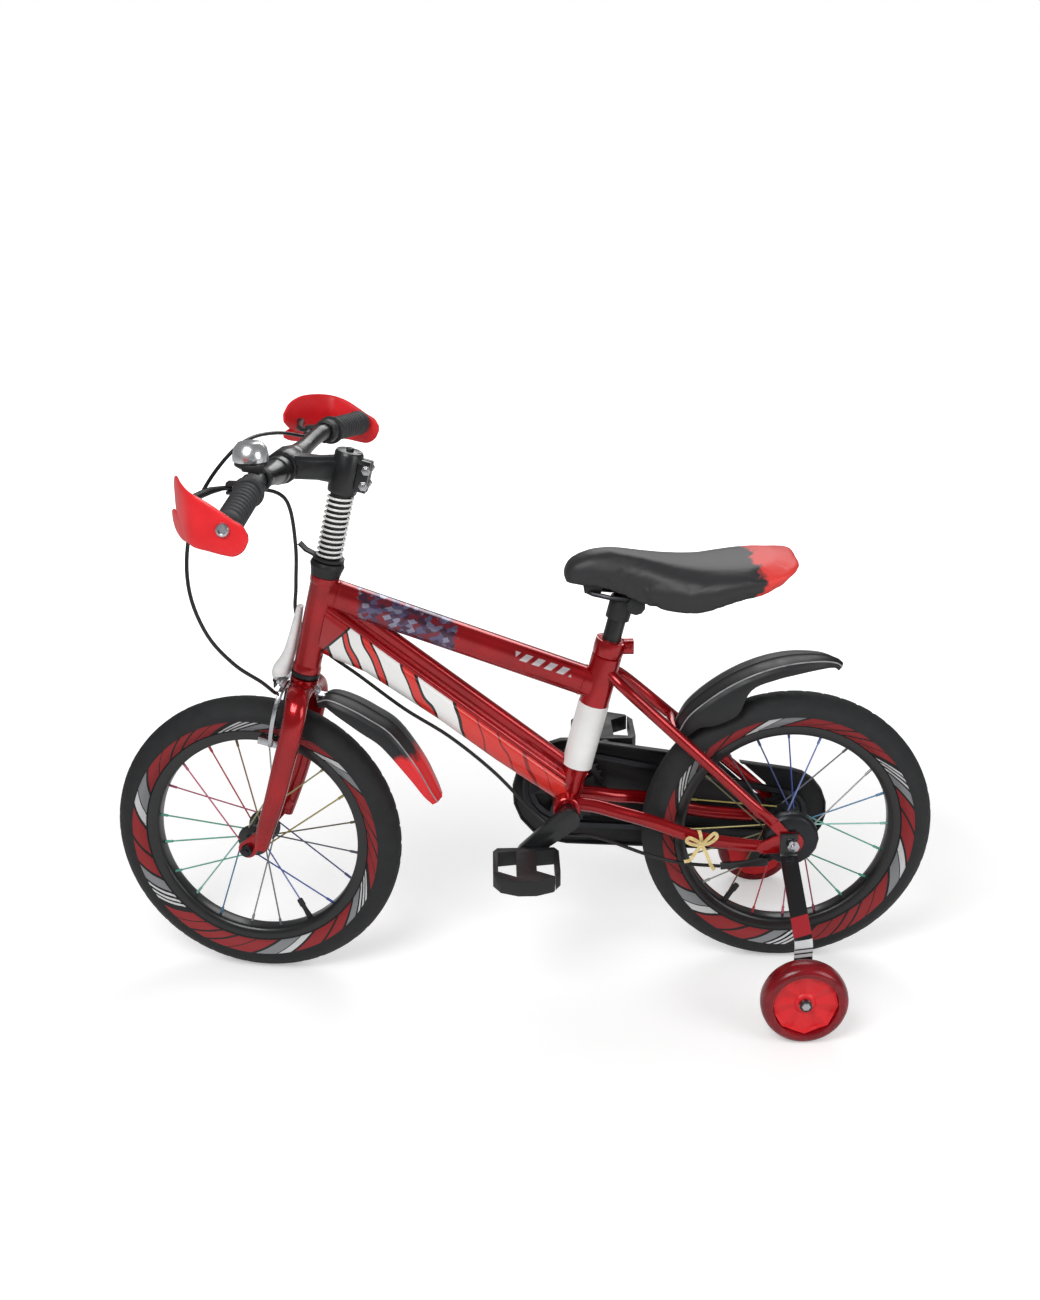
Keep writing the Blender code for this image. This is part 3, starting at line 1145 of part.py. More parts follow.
def channel_outline(width, depth, wall=0.0022):
    """A channel section: a crown over two skirts."""
    half = [(width * 0.62, -0.0010), (width, -0.0060), (width + 0.0008, -depth)]
    inside = [(width - wall, -depth), (width - wall, -0.0072), (width * 0.60, -0.0010 - wall)]
    right = half + inside
    return ([(0.0, 0.0)] + right + [(0.0, -wall)] + [(-w, d) for w, d in reversed(right)])


def mudguard(name, hub, fixing, stations, group, black):
    """A mudguard round a wheel, from stations (degrees past the fixing, rise over it, half width, depth)."""
    reach = fixing - hub
    start = math.atan2(reach.z, reach.x)
    path = []
    for past, rise, _, _ in stations:
        turn = start + math.radians(past)
        path.append(hub + Vector((math.cos(turn), 0, math.sin(turn))) * (reach.length + rise))
    outlines = [channel_outline(width, depth) for _, _, width, depth in stations]
    finished(name, swept(path[::-1], outlines[::-1]), group, black)
    return path


def make_mudguards(black):
    end = bridge_end()
    mudguard("rear_mudguard", REAR_HUB, Vector((end.x, 0, end.z)), [
        (-0.3, -0.0069, 0.0250, 0.0140), (6.4, 0.0028, 0.0290, 0.0260), (12.7, 0.0075, 0.0320, 0.0380),
        (21.0, 0.0127, 0.0330, 0.0420), (29.5, 0.0183, 0.0330, 0.0200), (38.0, 0.0236, 0.0320, 0.0180),
        (45.9, 0.0277, 0.0290, 0.0170), (53.6, 0.0301, 0.0220, 0.0130), (58.4, 0.0283, 0.0130, 0.0090),
        (61.0, 0.0235, 0.0070, 0.0085),
    ], "bike", black)
    path = mudguard("front_mudguard", FRONT_HUB, CROWN_MIDDLE, [
        (6.2, -0.0025, 0.0200, 0.0105), (9.5, 0.0105, 0.0260, 0.0140), (15.6, 0.0174, 0.0300, 0.0200),
        (23.3, 0.0242, 0.0310, 0.0240), (31.6, 0.0320, 0.0310, 0.0240), (43.8, 0.0339, 0.0290, 0.0200),
        (52.4, 0.0361, 0.0250, 0.0140), (56.5, 0.0387, 0.0180, 0.0090),
    ], "steering", black)
    tab = swept([path[0].lerp(path[1], 0.61) - UP * 0.0014, path[0] + Vector((-0.0010, 0, 0.0025)),
                 CROWN_MIDDLE + Vector((-0.0154, 0, -0.0056))], box_outline(0.0080, 0.0011))
    join(bpy.data.objects["front_mudguard"], finished("mudguard_tab", tab, "steering", None, helper=True))


# Seat

def make_seat_post(black):
    post = on_seat((0, POST_BOTTOM), (POST_RADIUS, POST_BOTTOM), (POST_RADIUS, POST_TOP), (0, POST_TOP))
    finished("seat_post", post, "seat", black)
    centre = seat_point(POST_TOP - 0.0080)
    low, high = POST_TOP - 0.0260, POST_TOP + 0.0030
    bore, outer = POST_RADIUS + GAP, POST_RADIUS + 0.0038
    clamp = on_seat((bore, low), (outer, low), (outer, high), (bore, high))
    clamp = finished("saddle_clamp", clamp, "seat", black)
    bolt_centre = centre + Vector((-0.0185, 0, 0.0065))
    drum = turned([(0, -0.0250), (0.0125, -0.0250), (0.0125, -0.0130), (0.0095, -0.0130),
                   (0.0095, 0.0130), (0.0125, 0.0130), (0.0125, 0.0250), (0, 0.0250)],
                  bolt_centre, LEFT, 10)
    drum = finished("saddle_clamp_drum", drum, "seat", None, helper=True)
    hole = on_seat((0, low - 0.02), (bore, low - 0.02), (bore, high - 0.0010), (0, high - 0.0010))
    post_hole = finished("saddle_clamp_bore", hole, "seat", None, helper=True)
    rail_holes = []
    for side, sign in (("left", 1), ("right", -1)):
        rail = [SEAT_DATUM + Vector((x, sign * RAIL_Y, RAIL_RISE)) for x in RAIL_ENDS]
        hole = swept(rail, round_outline(RAIL_RADIUS + 2 * GAP, RAIL_RADIUS + 2 * GAP, 8))
        rail_holes.append(finished("rail_hole_" + side, hole, "seat", None, helper=True))
    join(clamp, drum)
    cut(clamp, post_hole, *rail_holes)


def saddle_ring(x, half_width, top, bottom, base):
    """One cross-section of the saddle: a crown, drawn-in sides and a hollow underside."""
    w, h = half_width, top - bottom
    half = [(0.42 * w, top - 0.02 * h), (0.78 * w, top - 0.12 * h), (0.97 * w, top - 0.32 * h),
            (w, top - 0.52 * h), (0.95 * w, top - 0.78 * h), (0.92 * w, bottom), (0.83 * w, bottom + 0.001),
            (0.75 * w, base)]
    ring = [(0.0, top)] + half + [(0.0, base)] + [(-y, z) for y, z in reversed(half)]
    return [SEAT_DATUM + Vector((x, y, z)) for y, z in ring]


def make_saddle(leather):
    stations = [
        (-0.2429, 0.0300, 0.0920, 0.0760, 0.0770), (-0.2389, 0.0480, 0.0990, 0.0660, 0.0700),
        (-0.2188, 0.0660, 0.1060, 0.0600, 0.0660), (-0.1929, 0.0740, 0.1030, 0.0560, 0.0620),
        (-0.1661, 0.0760, 0.0998, 0.0530, 0.0600), (-0.1329, 0.0740, 0.0985, 0.0480, 0.0580),
        (-0.0998, 0.0660, 0.0985, 0.0420, 0.0570), (-0.0659, 0.0530, 0.1015, 0.0400, 0.0560),
        (-0.0334, 0.0400, 0.1058, 0.0420, 0.0560), (-0.0078, 0.0320, 0.1095, 0.0440, 0.0565),
        (0.0195, 0.0270, 0.1135, 0.0480, 0.0590), (0.0459, 0.0240, 0.1115, 0.0530, 0.0640),
        (0.0621, 0.0190, 0.0990, 0.0610, 0.0680), (0.0691, 0.0100, 0.0860, 0.0690, 0.0720),
    ]
    shape = loft([saddle_ring(*row) for row in stations])
    finished("saddle", shape, "seat", leather, crease=60)


def make_saddle_rails(steel):
    """One bent wire: two rails that meet under the nose."""
    half = [(-0.1719, 0.0260, 0.0571), (-0.1559, 0.0240, 0.0520), (-0.1259, 0.0215, RAIL_RISE),
            (RAIL_ENDS[0], RAIL_Y, RAIL_RISE), (RAIL_ENDS[1], RAIL_Y, RAIL_RISE), (0.0041, 0.0165, 0.0515),
            (0.0291, 0.0110, 0.0560), (0.0361, 0.0040, 0.0575)]
    half = [SEAT_DATUM + Vector(p) for p in half]
    cord("saddle_rails", half + mirrored(reversed(half)), "seat", steel, RAIL_RADIUS, 1)


# Brake cables

def make_cables(black):
    left_barrel = on_bar(PERCH_Y, 1) + Vector((0.0225, -0.0260, 0))
    right_barrel = on_bar(PERCH_Y, -1) + Vector((0.0225, 0.0260, 0))
    rear = [steered(left_barrel - LEFT * 0.0012), steered(left_barrel - LEFT * 0.012),
            steered(left_barrel + Vector((0.012, -0.055, -0.008))),
            steered((0.7150, 0.0250, 0.7050)), steered((0.7050, 0.0120, 0.6600)),
            steered((0.6740, 0.0060, 0.6270)),
            Vector((0.6660, -0.0090, 0.5700)), Vector((0.6560, -0.0240, 0.5200)),
            Vector((0.6300, -0.0290, 0.4740)), Vector((0.5900, -0.0150, 0.4330)),
            Vector((0.5300, 0.0, 0.3900)), Vector((0.4700, 0.0, 0.3480)), Vector((0.4100, 0.0050, 0.2960)),
            Vector((0.3600, 0.0200, 0.2460)), Vector((0.3200, 0.0420, 0.2200)),
            Vector((0.2700, 0.0460, 0.2140)), Vector((0.2000, 0.0490, 0.1870)),
            Vector((0.1500, 0.0440, 0.1700)), Vector((0.0968, 0.0402, 0.1622))]
    cord("rear_brake_cable", smooth_path(rear, 3), "bike", black)
    front_end = brake_pivot() + HEAD_FORE * 0.0062 + LEFT * 0.0395 - HEAD_AXIS * 0.0037
    front = [right_barrel + LEFT * 0.0014, right_barrel + LEFT * 0.012,
             Vector((0.7080, -0.0800, 0.7560)), Vector((0.7220, 0.0, 0.7640)),
             Vector((0.7350, 0.0650, 0.7500)), Vector((0.7500, 0.1200, 0.7150)),
             Vector((0.7600, 0.1500, 0.6600)), Vector((0.7600, 0.1550, 0.6000)),
             Vector((0.7460, 0.1400, 0.5400)), Vector((0.7250, 0.1050, 0.4900)),
             Vector((0.7020, 0.0700, 0.4550)), front_end + LEFT * 0.012 + UP * 0.006, front_end]
    cord("front_brake_cable", smooth_path(front, 3), "steering", black)


def build():
    clear_scene()
    red = paint("candy_red", "B4101C", 0.28, 0.35)
    bright_red = paint("bright_red_plastic", "E8202A", 0.35)
    white = paint("white_enamel", "E9E9EA", 0.30)
    black = paint("black_plastic", "17181A", 0.45)
    gloss_black = paint("black_enamel", "101113", 0.25)
    rubber = paint("rubber", "1B1C1E", 0.75)
    dark = paint("dark_steel", "4A4C50", 0.40, 0.8)
    steel = paint("plated_steel", "C9CBCE", 0.25, 1.0)
    chrome = paint("chrome", "DADCDE", 0.10, 1.0)
    leather = paint("saddle_vinyl", "1C1C1E", 0.50)

    carrier("bike", (BOX_MIDDLE_X, BOX_MIDDLE_Y, 0.0)).location = (0, 0, 0)
    carrier("steering", HEAD_DATUM, "bike", STEER_TURN)
    carrier("front_wheel_axle", FRONT_HUB, "steering")
    carrier("rear_wheel_axle", REAR_HUB, "bike")
    carrier("freewheel", REAR_HUB, "bike")
    carrier("crank", BOTTOM_BRACKET, "bike")
    carrier("pedal_axle_left", pedal_centre(1), "crank")
    carrier("pedal_axle_right", pedal_centre(-1), "crank")
    carrier("training_axle_left", (TRAINING_X, TRAINING_Y, TRAINING_RADIUS), "bike")
    carrier("training_axle_right", (TRAINING_X, -TRAINING_Y, TRAINING_RADIUS), "bike")
    carrier("seat", SEAT_DATUM, "bike")
    carrier("lever_pivot_left", lever_pivot(1), "steering")
    carrier("lever_pivot_right", lever_pivot(-1), "steering")
    carrier("brake_pivot_left", brake_pivot(), "steering")
    carrier("brake_pivot_right", brake_pivot(), "steering")
    carrier("bell_pivot", bell_pivot(), "steering")
    carrier("band_arm", band_arm_pivot(), "bike")

    frame_cutters()
    make_frame(red, white)
    make_stays(red)
    make_seat_clamp(red)
    make_headset(dark, black)
    make_fork(red)
    make_stem(gloss_black)
    make_bar(gloss_black)
    make_spring(white)
    make_cable_guide(black)
    for side, sign in (("left", 1), ("right", -1)):
        make_grip(side, sign, rubber)
        make_guard(side, sign, bright_red)
        make_perch(side, sign, black)
        make_lever(side, sign, black)
        make_pedal(side, sign, black)
        make_training(side, sign, dark, bright_red)
    make_bell(black, chrome)
    make_bell_lever(black)
    make_front_brake(steel)
    make_tyre("front_tyre", FRONT_HUB, "front_wheel_axle", rubber)
    make_tyre("rear_tyre", REAR_HUB, "rear_wheel_axle", rubber)
    make_rim("front_rim", FRONT_HUB, "front_wheel_axle", gloss_black)
    make_rim("rear_rim", REAR_HUB, "rear_wheel_axle", gloss_black)
    make_spokes("front_spokes", FRONT_HUB, "front_wheel_axle", steel)
    make_spokes("rear_spokes", REAR_HUB, "rear_wheel_axle", steel, 0.0150, True)
    make_axle("front_axle", FRONT_HUB, "steering", steel, 0.0558, 0.0558)
    left_stack = DROPOUT_INNER + DROPOUT_THICKNESS + BRACKET_THICKNESS + 2 * GAP
    make_axle("rear_axle", REAR_HUB, "bike", steel, left_stack, left_stack + CASE_THICKNESS + GAP)
    make_crankset(black)
    make_chainring(steel)
    make_sprocket(steel)
    make_chain(steel)
    make_chain_case(black)
    make_band_brake(black, steel)
    make_mudguards(black)
    make_seat_post(black)
    make_saddle(leather)
    make_saddle_rails(steel)
    make_cables(black)


build()
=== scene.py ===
"""Looks of the kids' BMX bike: fine surfaces, materials, floor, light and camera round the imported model.

Shapes are drawn in the bike's own places (x forward from the rear axle, y to the left, z up) and
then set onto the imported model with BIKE, or with STEER for what turns with the bar.
"""

import math

import bmesh
import bpy
from mathutils import Matrix, Vector


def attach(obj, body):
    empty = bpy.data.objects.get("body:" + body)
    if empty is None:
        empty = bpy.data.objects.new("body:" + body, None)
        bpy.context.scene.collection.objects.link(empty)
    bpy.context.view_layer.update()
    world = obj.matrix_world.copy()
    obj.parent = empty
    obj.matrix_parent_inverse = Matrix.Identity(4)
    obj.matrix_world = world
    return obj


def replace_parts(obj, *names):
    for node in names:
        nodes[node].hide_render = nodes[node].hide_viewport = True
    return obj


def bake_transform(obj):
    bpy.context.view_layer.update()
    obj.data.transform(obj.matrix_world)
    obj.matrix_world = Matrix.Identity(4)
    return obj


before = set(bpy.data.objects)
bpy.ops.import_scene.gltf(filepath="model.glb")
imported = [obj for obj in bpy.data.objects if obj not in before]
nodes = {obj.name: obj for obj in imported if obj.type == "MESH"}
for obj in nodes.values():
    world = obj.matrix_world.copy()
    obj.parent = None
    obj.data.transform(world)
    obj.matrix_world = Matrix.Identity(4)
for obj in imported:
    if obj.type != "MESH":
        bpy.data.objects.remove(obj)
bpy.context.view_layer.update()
bpy.ops.object.select_all(action="DESELECT")

UP, LEFT, FORWARD = Vector((0, 0, 1)), Vector((0, 1, 0)), Vector((1, 0, 0))

# Places shared with the solids
WHEELBASE, WHEEL_RADIUS = 0.74, 0.2035
HEAD_DATUM, HEAD_ANGLE = Vector((0.6486, 0, 0.5)), math.radians(76.62)
SEAT_DATUM, SEAT_ANGLE = Vector((0.2459, 0, 0.5)), math.radians(76.06)
HEAD_AXIS = Vector((-math.cos(HEAD_ANGLE), 0, math.sin(HEAD_ANGLE)))
HEAD_FORE = Vector((math.sin(HEAD_ANGLE), 0, math.cos(HEAD_ANGLE)))
SEAT_AXIS = Vector((-math.cos(SEAT_ANGLE), 0, math.sin(SEAT_ANGLE)))
REAR_HUB, FRONT_HUB = Vector((0, 0, WHEEL_RADIUS)), Vector((WHEELBASE, 0, WHEEL_RADIUS))
BIKE = Matrix.Translation((-0.37, 0.0105, 0))
REST_STEER = math.radians(10.3)
STEER = (BIKE @ Matrix.Translation(HEAD_DATUM) @ Matrix.Rotation(-REST_STEER, 4, HEAD_AXIS)
         @ Matrix.Translation(-HEAD_DATUM))


def mm(*rows):
    """Rows of millimetres as rows of metres."""
    return [tuple(value / 1000 for value in row) for row in rows]


def placed(name, data):
    """A new object of the data, in the scene."""
    made = bpy.data.objects.new(name, data)
    bpy.context.scene.collection.objects.link(made)
    return made


# Camera and colours

def look(centre, yaw, pitch, roll, lens):
    """The camera of the photograph, by its place, heading, downward tilt, roll and lens."""
    camera = placed("camera", bpy.data.cameras.new("camera"))
    forward = Vector((math.sin(yaw) * math.cos(pitch), -math.cos(yaw) * math.cos(pitch), -math.sin(pitch)))
    right = Vector((-math.cos(yaw), -math.sin(yaw), 0))
    above = right.cross(forward)
    right, above = (right * math.cos(roll) + above * math.sin(roll),
                    above * math.cos(roll) - right * math.sin(roll))
    turn = Matrix((right, above, -forward)).transposed().to_4x4()
    camera.matrix_world = Matrix.Translation(centre) @ turn
    camera.data.sensor_width = 36
    camera.data.sensor_fit = "AUTO"
    camera.data.lens = lens
    camera.data.clip_end = 50
    bpy.context.scene.camera = camera


# Fitted to the photograph: its focal length is in pixels, of 1300 on the long side
look((0.037, 2.1443, 1.2971), math.radians(-0.9382), math.radians(21.0975), math.radians(-0.4828),
     1697.4833 / 1300 * 36)
bpy.context.scene.view_settings.view_transform = "Standard"


def linear(shade):
    """An sRGB hex colour as linear values."""
    channels = [int(shade[k:k + 2], 16) / 255 for k in (0, 2, 4)]
    return [c / 12.92 if c <= 0.04045 else ((c + 0.055) / 1.055) ** 2.4 for c in channels] + [1.0]


def add(tree, kind, settings=None, **links):
    """Adds one shader node. Settings are its own properties, links its inputs by name: values or sockets."""
    made = tree.nodes.new("ShaderNode" + kind)
    for key, value in (settings or {}).items():
        setattr(made, key, value)
    for key, value in links.items():
        slot = made.inputs[int(key[1:])] if key[1:].isdigit() else made.inputs[key.replace("_", " ")]
        if isinstance(value, bpy.types.NodeSocket):
            tree.links.new(value, slot)
        else:
            slot.default_value = value
    return made


def finish_of(name, shade, roughness, metallic=0.0, **sockets):
    """A new Principled material. Returns the material, its tree, its shader and Object coordinates."""
    made = bpy.data.materials.new(name)
    made.use_nodes = True
    tree = made.node_tree
    shader = tree.nodes["Principled BSDF"]
    shader.inputs["Base Color"].default_value = linear(shade)
    shader.inputs["Roughness"].default_value = roughness
    shader.inputs["Metallic"].default_value = metallic
    for key, value in sockets.items():
        shader.inputs[key.replace("_", " ")].default_value = value
    place = add(tree, "TexCoord").outputs["Object"]
    return made, tree, shader, place


def grain(tree, shader, place, size, height, strength=0.4, detail=2.0):
    """Fine relief whose bumps are size metres across and height metres deep."""
    noise = add(tree, "TexNoise", Vector=place, Scale=1 / size, Detail=detail)
    bump = add(tree, "Bump", Height=noise.outputs[0], Distance=height, Strength=strength)
    tree.links.new(bump.outputs[0], shader.inputs["Normal"])
    return bump


def mottle(tree, shader, place, size, dark, light, socket="Base Color"):
    """Slow variation of a colour, or of the roughness, over patches size metres across."""
    noise = add(tree, "TexNoise", Vector=place, Scale=1 / size, Detail=4.0)
    ramp = add(tree, "ValToRGB", Fac=noise.outputs[0])
    ramp.color_ramp.elements[0].position = 0.3
    ramp.color_ramp.elements[1].position = 0.7
    ramp.color_ramp.elements[0].color = dark if socket == "Roughness" else linear(dark)
    ramp.color_ramp.elements[1].color = light if socket == "Roughness" else linear(light)
    tree.links.new(ramp.outputs[0], shader.inputs[socket])
    return ramp


def grey(value):
    """A roughness as the colour that a ramp needs."""
    return [value, value, value, 1.0]


def striped(tree, share, row):
    """Flat colours side by side: each entry of the row says where along the share its colour starts."""
    ramp = add(tree, "ValToRGB", Fac=share)
    ramp.color_ramp.interpolation = "CONSTANT"
    stops = ramp.color_ramp.elements
    while len(stops) < len(row):
        stops.new(0.5)
    for stop, (at, shade) in zip(stops, row):
        stop.position = at
        stop.color = linear(shade)
    return ramp.outputs[0]


def maths(tree, operation, *values):
    """One step of arithmetic on sockets and numbers, as the socket of its result."""
    slots = {"_%d" % k: value for k, value in enumerate(values)}
    return add(tree, "Math", {"operation": operation}, **slots).outputs[0]


def sum_of(tree, *terms):
    """The sum of sockets times factors, from (socket, factor) pairs."""
    total = 0.0
    for socket, factor in terms:
        total = maths(tree, "MULTIPLY_ADD", socket, factor, total)
    return total


def between(tree, socket, low, high, edge=0.0005):
    """One where the socket lies between low and high, and nothing elsewhere, with soft edges."""
    rise = add(tree, "MapRange", Value=socket, From_Min=low - edge, From_Max=low + edge)
    fall = add(tree, "MapRange", Value=socket, From_Min=high + edge, From_Max=high - edge)
    return maths(tree, "MULTIPLY", rise.outputs[0], fall.outputs[0])


def over(tree, share, below, above):
    """Mixes from the colour below to the colour above. Each is a socket or a hex colour."""
    mix = add(tree, "Mix", {"data_type": "RGBA"}, Factor=share)
    for slot, colour in ((6, below), (7, above)):
        if isinstance(colour, str):
            mix.inputs[slot].default_value = linear(colour)
        else:
            tree.links.new(colour, mix.inputs[slot])
    return mix.outputs[2]


# Finishes: each is named for the real one, and its comment says what the eye gets

def plain(name, shade, roughness, metallic, patch, drift, relief, **sockets):
    """A finish of one colour. Over patches so many metres across its colour drifts between two others, or its
    roughness between two numbers. Relief is the size, height and strength of its grain."""
    made, tree, shader, place = finish_of(name, shade, roughness, metallic, **sockets)
    if isinstance(drift[0], str):
        mottle(tree, shader, place, patch, *drift)
    else:
        mottle(tree, shader, place, patch, grey(drift[0]), grey(drift[1]), "Roughness")
    grain(tree, shader, place, *relief)
    return made


# Black enamel on a forged stem and bar: a soft gloss, with the slight ripple of a sprayed coat
GLOSS = plain("black_gloss_enamel", "141517", 0.34, 0, 0.03, (0.28, 0.42), (0.002, 0.00006, 0.3),
              Coat_Weight=0.3, Coat_Roughness=0.16)
# White enamel: bright, a touch warm, with soft highlights and a faint orange peel
WHITE = plain("white_enamel", "ECECEA", 0.28, 0, 0.05, ("E4E4E3", "F2F2F0"), (0.0025, 0.00005, 0.25),
              Coat_Weight=0.5)
# Black polypropylene, injection moulded: a dull even skin with fine spark-erosion grain
BLACK = plain("black_moulded_polypropylene", "1B1C1E", 0.48, 0, 0.02, (0.4, 0.56), (0.0011, 0.00008, 0.5))
# Bright red polypropylene, injection moulded: a clean waxy gloss with a fine grain
BRIGHT = plain("red_moulded_polypropylene", "E21C24", 0.34, 0, 0.03, ("D9161F", "E8252C"),
               (0.0012, 0.00005, 0.35))
# Dark red PVC, dip moulded and part clear: light sinks in and the edges glow
PVC = plain("dark_red_soft_pvc", "8E0F1A", 0.22, 0, 0.02, ("7A0B15", "A01522"), (0.0015, 0.00006, 0.35),
            Transmission_Weight=0.25, Subsurface_Weight=0.3, Subsurface_Scale=0.01)
# Black oxide steel: satin, with brushed scratches about 0.4 mm apart
OXIDE = plain("black_oxide_steel", "3A3B3E", 0.38, 0.9, 0.012, (0.28, 0.46), (0.0004, 0.00002, 0.5))
# Bright zinc plate: a pale, slightly blue shine that clouds from patch to patch
ZINC = plain("zinc_plated_steel", "C6C8CC", 0.24, 1, 0.006, (0.16, 0.34), (0.0006, 0.00002, 0.4))
# Chrome plate on the bell, dulled by handling: bright, with wide soft highlights
CHROME = plain("chrome_plate", "E4E6E8", 0.24, 0.9, 0.008, (0.2, 0.3), (0.001, 0.00001, 0.3))
# Black PVC cable jacket: smooth and slightly greasy, with a fine extruded grain
JACKET = plain("black_pvc_jacket", "141416", 0.36, 0, 0.01, (0.3, 0.44), (0.0009, 0.00003, 0.4))
# Soft grip rubber, charcoal: matt, with a fine pitted skin
GRIP = plain("charcoal_grip_rubber", "2B2C2F", 0.62, 0, 0.015, ("262729", "333437"), (0.001, 0.00012, 0.6))
# White moulded plastic, a little translucent: soft light, no sharp highlight
PALE = plain("white_moulded_plastic", "E9E9E8", 0.42, 0, 0.02, ("E0E0E0", "EFEFEE"), (0.0014, 0.00005, 0.3),
             Subsurface_Weight=0.15, Subsurface_Scale=0.004)
# The crest lines of the mudguards: black plastic painted pale grey, a painted highlight along the moulded ridges
CREST_HIGHLIGHT = plain("rubbed_plastic_edge", "8B8C8F", 0.5, 0, 0.02, ("6F7073", "A3A4A6"), (0.0011, 0.00005, 0.4))
# Pale yellow paper of a twisted wire tie: dull, creased
TIE = plain("yellow_tie_paper", "DCC685", 0.65, 0, 0.004, ("CDB266", "EAD9A4"), (0.0015, 0.0002, 0.7))


def candy(name):
    """Candy red enamel on steel tube: a clear glossy coat over a deep metallic red that pools darker."""
    made, tree, shader, place = finish_of(name, "A00912", 0.24, 0.6, Coat_Weight=0.8, Coat_Roughness=0.05,
                                          Specular_IOR_Level=0.3)
    pooled = mottle(tree, shader, place, 0.045, "940710", "B00A15")
    grain(tree, shader, place, 0.0012, 0.00004, 0.25)
    return made, tree, shader, place, pooled.outputs[0]


def printed_enamel():
    """The top tube's candy red under a printed band of slate and plum blocks, with pale bars behind it.

    The blocks are about 9 mm long and 6 mm high, and lie along the tube. The band's ends are torn."""
    made, tree, shader, place, pooled = candy("candy_red_enamel_printed")
    parts = add(tree, "SeparateXYZ", Vector=place).outputs
    lie = add(tree, "Mapping", Vector=place, Rotation=(0, math.radians(-20.5), 0),
              Scale=(1 / 0.009, 1 / 0.012, 1 / 0.006))
    blocks = add(tree, "TexVoronoi", {"distance": "CHEBYCHEV"}, Vector=lie.outputs[0], Scale=1.0,
                 Randomness=0.75)
    draw = add(tree, "SeparateColor", Color=blocks.outputs["Color"])
    shades = striped(tree, draw.outputs[0], [
        (0.0, "4A2A40"), (0.2, "5E587A"), (0.4, "7A2434"), (0.58, "77748F"), (0.72, "543A58"),
        (0.86, "8E8CA2"), (0.93, "841826")])
    torn = add(tree, "TexNoise", Vector=place, Scale=120.0, Detail=3.0)
    band = between(tree, sum_of(tree, (parts[0], 1.0), (torn.outputs[0], 0.02)), 0.0985, 0.226, 0.0015)
    banded = over(tree, band, pooled, shades)
    bar = maths(tree, "FRACT", sum_of(tree, (parts[0], 40.0), (parts[2], 55.0)))
    above = sum_of(tree, (parts[2], 1.0), (parts[0], -0.374))
    stretch = maths(tree, "MULTIPLY", between(tree, above, 0.4645, 0.4755),
                    between(tree, parts[0], -0.066, 0.008))
    cut = maths(tree, "MULTIPLY", stretch, between(tree, bar, 0.2, 0.78, 0.02))
    tree.links.new(over(tree, cut, banded, "D9CFD2"), shader.inputs["Base Color"])
    return made


def tyre_rubber():
    """Black tyre rubber: matt and dusty, with a printed band of slanted red and grey bars on its wall.

    The round map gives turns in u and the distance from the hub, in quarters of a metre, in v. The row of
    bars comes three times round the wheel."""
    made, tree, shader, place = finish_of("black_tyre_rubber", "1E1F21", 0.72)
    turn = add(tree, "UVMap", {"uv_map": "round"}).outputs[0]
    parts = add(tree, "SeparateXYZ", Vector=turn).outputs
    lean = maths(tree, "MULTIPLY_ADD", parts[1], 0.55, parts[0])
    share = maths(tree, "FRACT", maths(tree, "MULTIPLY", lean, 3.0))
    red, ink, ash, pale = "8E2226", "1B1719", "808285", "C8C9CA"
    bars = striped(tree, share, [
        (0.0, red), (0.06, ink), (0.07, red), (0.13, ink), (0.145, red), (0.2, ink), (0.215, red),
        (0.29, ink), (0.3, red), (0.39, ink), (0.41, ash), (0.49, ink), (0.5, pale), (0.55, ink),
        (0.57, red), (0.68, ink), (0.7, red), (0.79, ink), (0.81, ash), (0.87, ink), (0.885, pale),
        (0.9, ink), (0.915, pale), (0.93, ink), (0.945, pale), (0.96, ink)])
    band = between(tree, parts[1], 0.16 * 4, 0.1762 * 4, 0.0008)
    dust = add(tree, "TexNoise", Vector=place, Scale=60.0, Detail=4.0)
    rubber = over(tree, dust.outputs[0], "151618", "242527")
    tree.links.new(over(tree, band, rubber, bars), shader.inputs["Base Color"])
    grain(tree, shader, place, 0.0014, 0.00012, 0.5)
    return made


def saddle_vinyl():
    """Saddle vinyl over foam: satin black leather grain, with a red sprayed tail that ends in a ragged edge."""
    made, tree, shader, place = finish_of("saddle_vinyl", "202022", 0.48)
    parts = add(tree, "SeparateXYZ", Vector=place).outputs
    ragged = add(tree, "TexNoise", Vector=place, Scale=28.0, Detail=3.0, Roughness=0.6)
    reach = maths(tree, "MULTIPLY_ADD", ragged.outputs[0], -0.075, parts[0])
    tail = add(tree, "MapRange", Value=reach, From_Min=-0.352, From_Max=-0.344)
    tree.links.new(over(tree, tail.outputs[0], "E23A34", "29292B"), shader.inputs["Base Color"])
    cells = add(tree, "TexVoronoi", Vector=place, Scale=1 / 0.0016)
    bump = add(tree, "Bump", Height=cells.outputs[0], Distance=0.00012, Strength=0.5)
    tree.links.new(bump.outputs[0], shader.inputs["Normal"])
    return made


def spoke_steel():
    """Spoke wire, drawn and tinted: each wire has the colour kept in its own attribute."""
    made, tree, shader, place = finish_of("tinted_spoke_wire", "B9BBBE", 0.3, 0.35)
    tint = add(tree, "Attribute", {"attribute_name": "tint"}).outputs[0]
    tree.links.new(tint, shader.inputs["Base Color"])
    grain(tree, shader, place, 0.0005, 0.00001, 0.3)
    return made


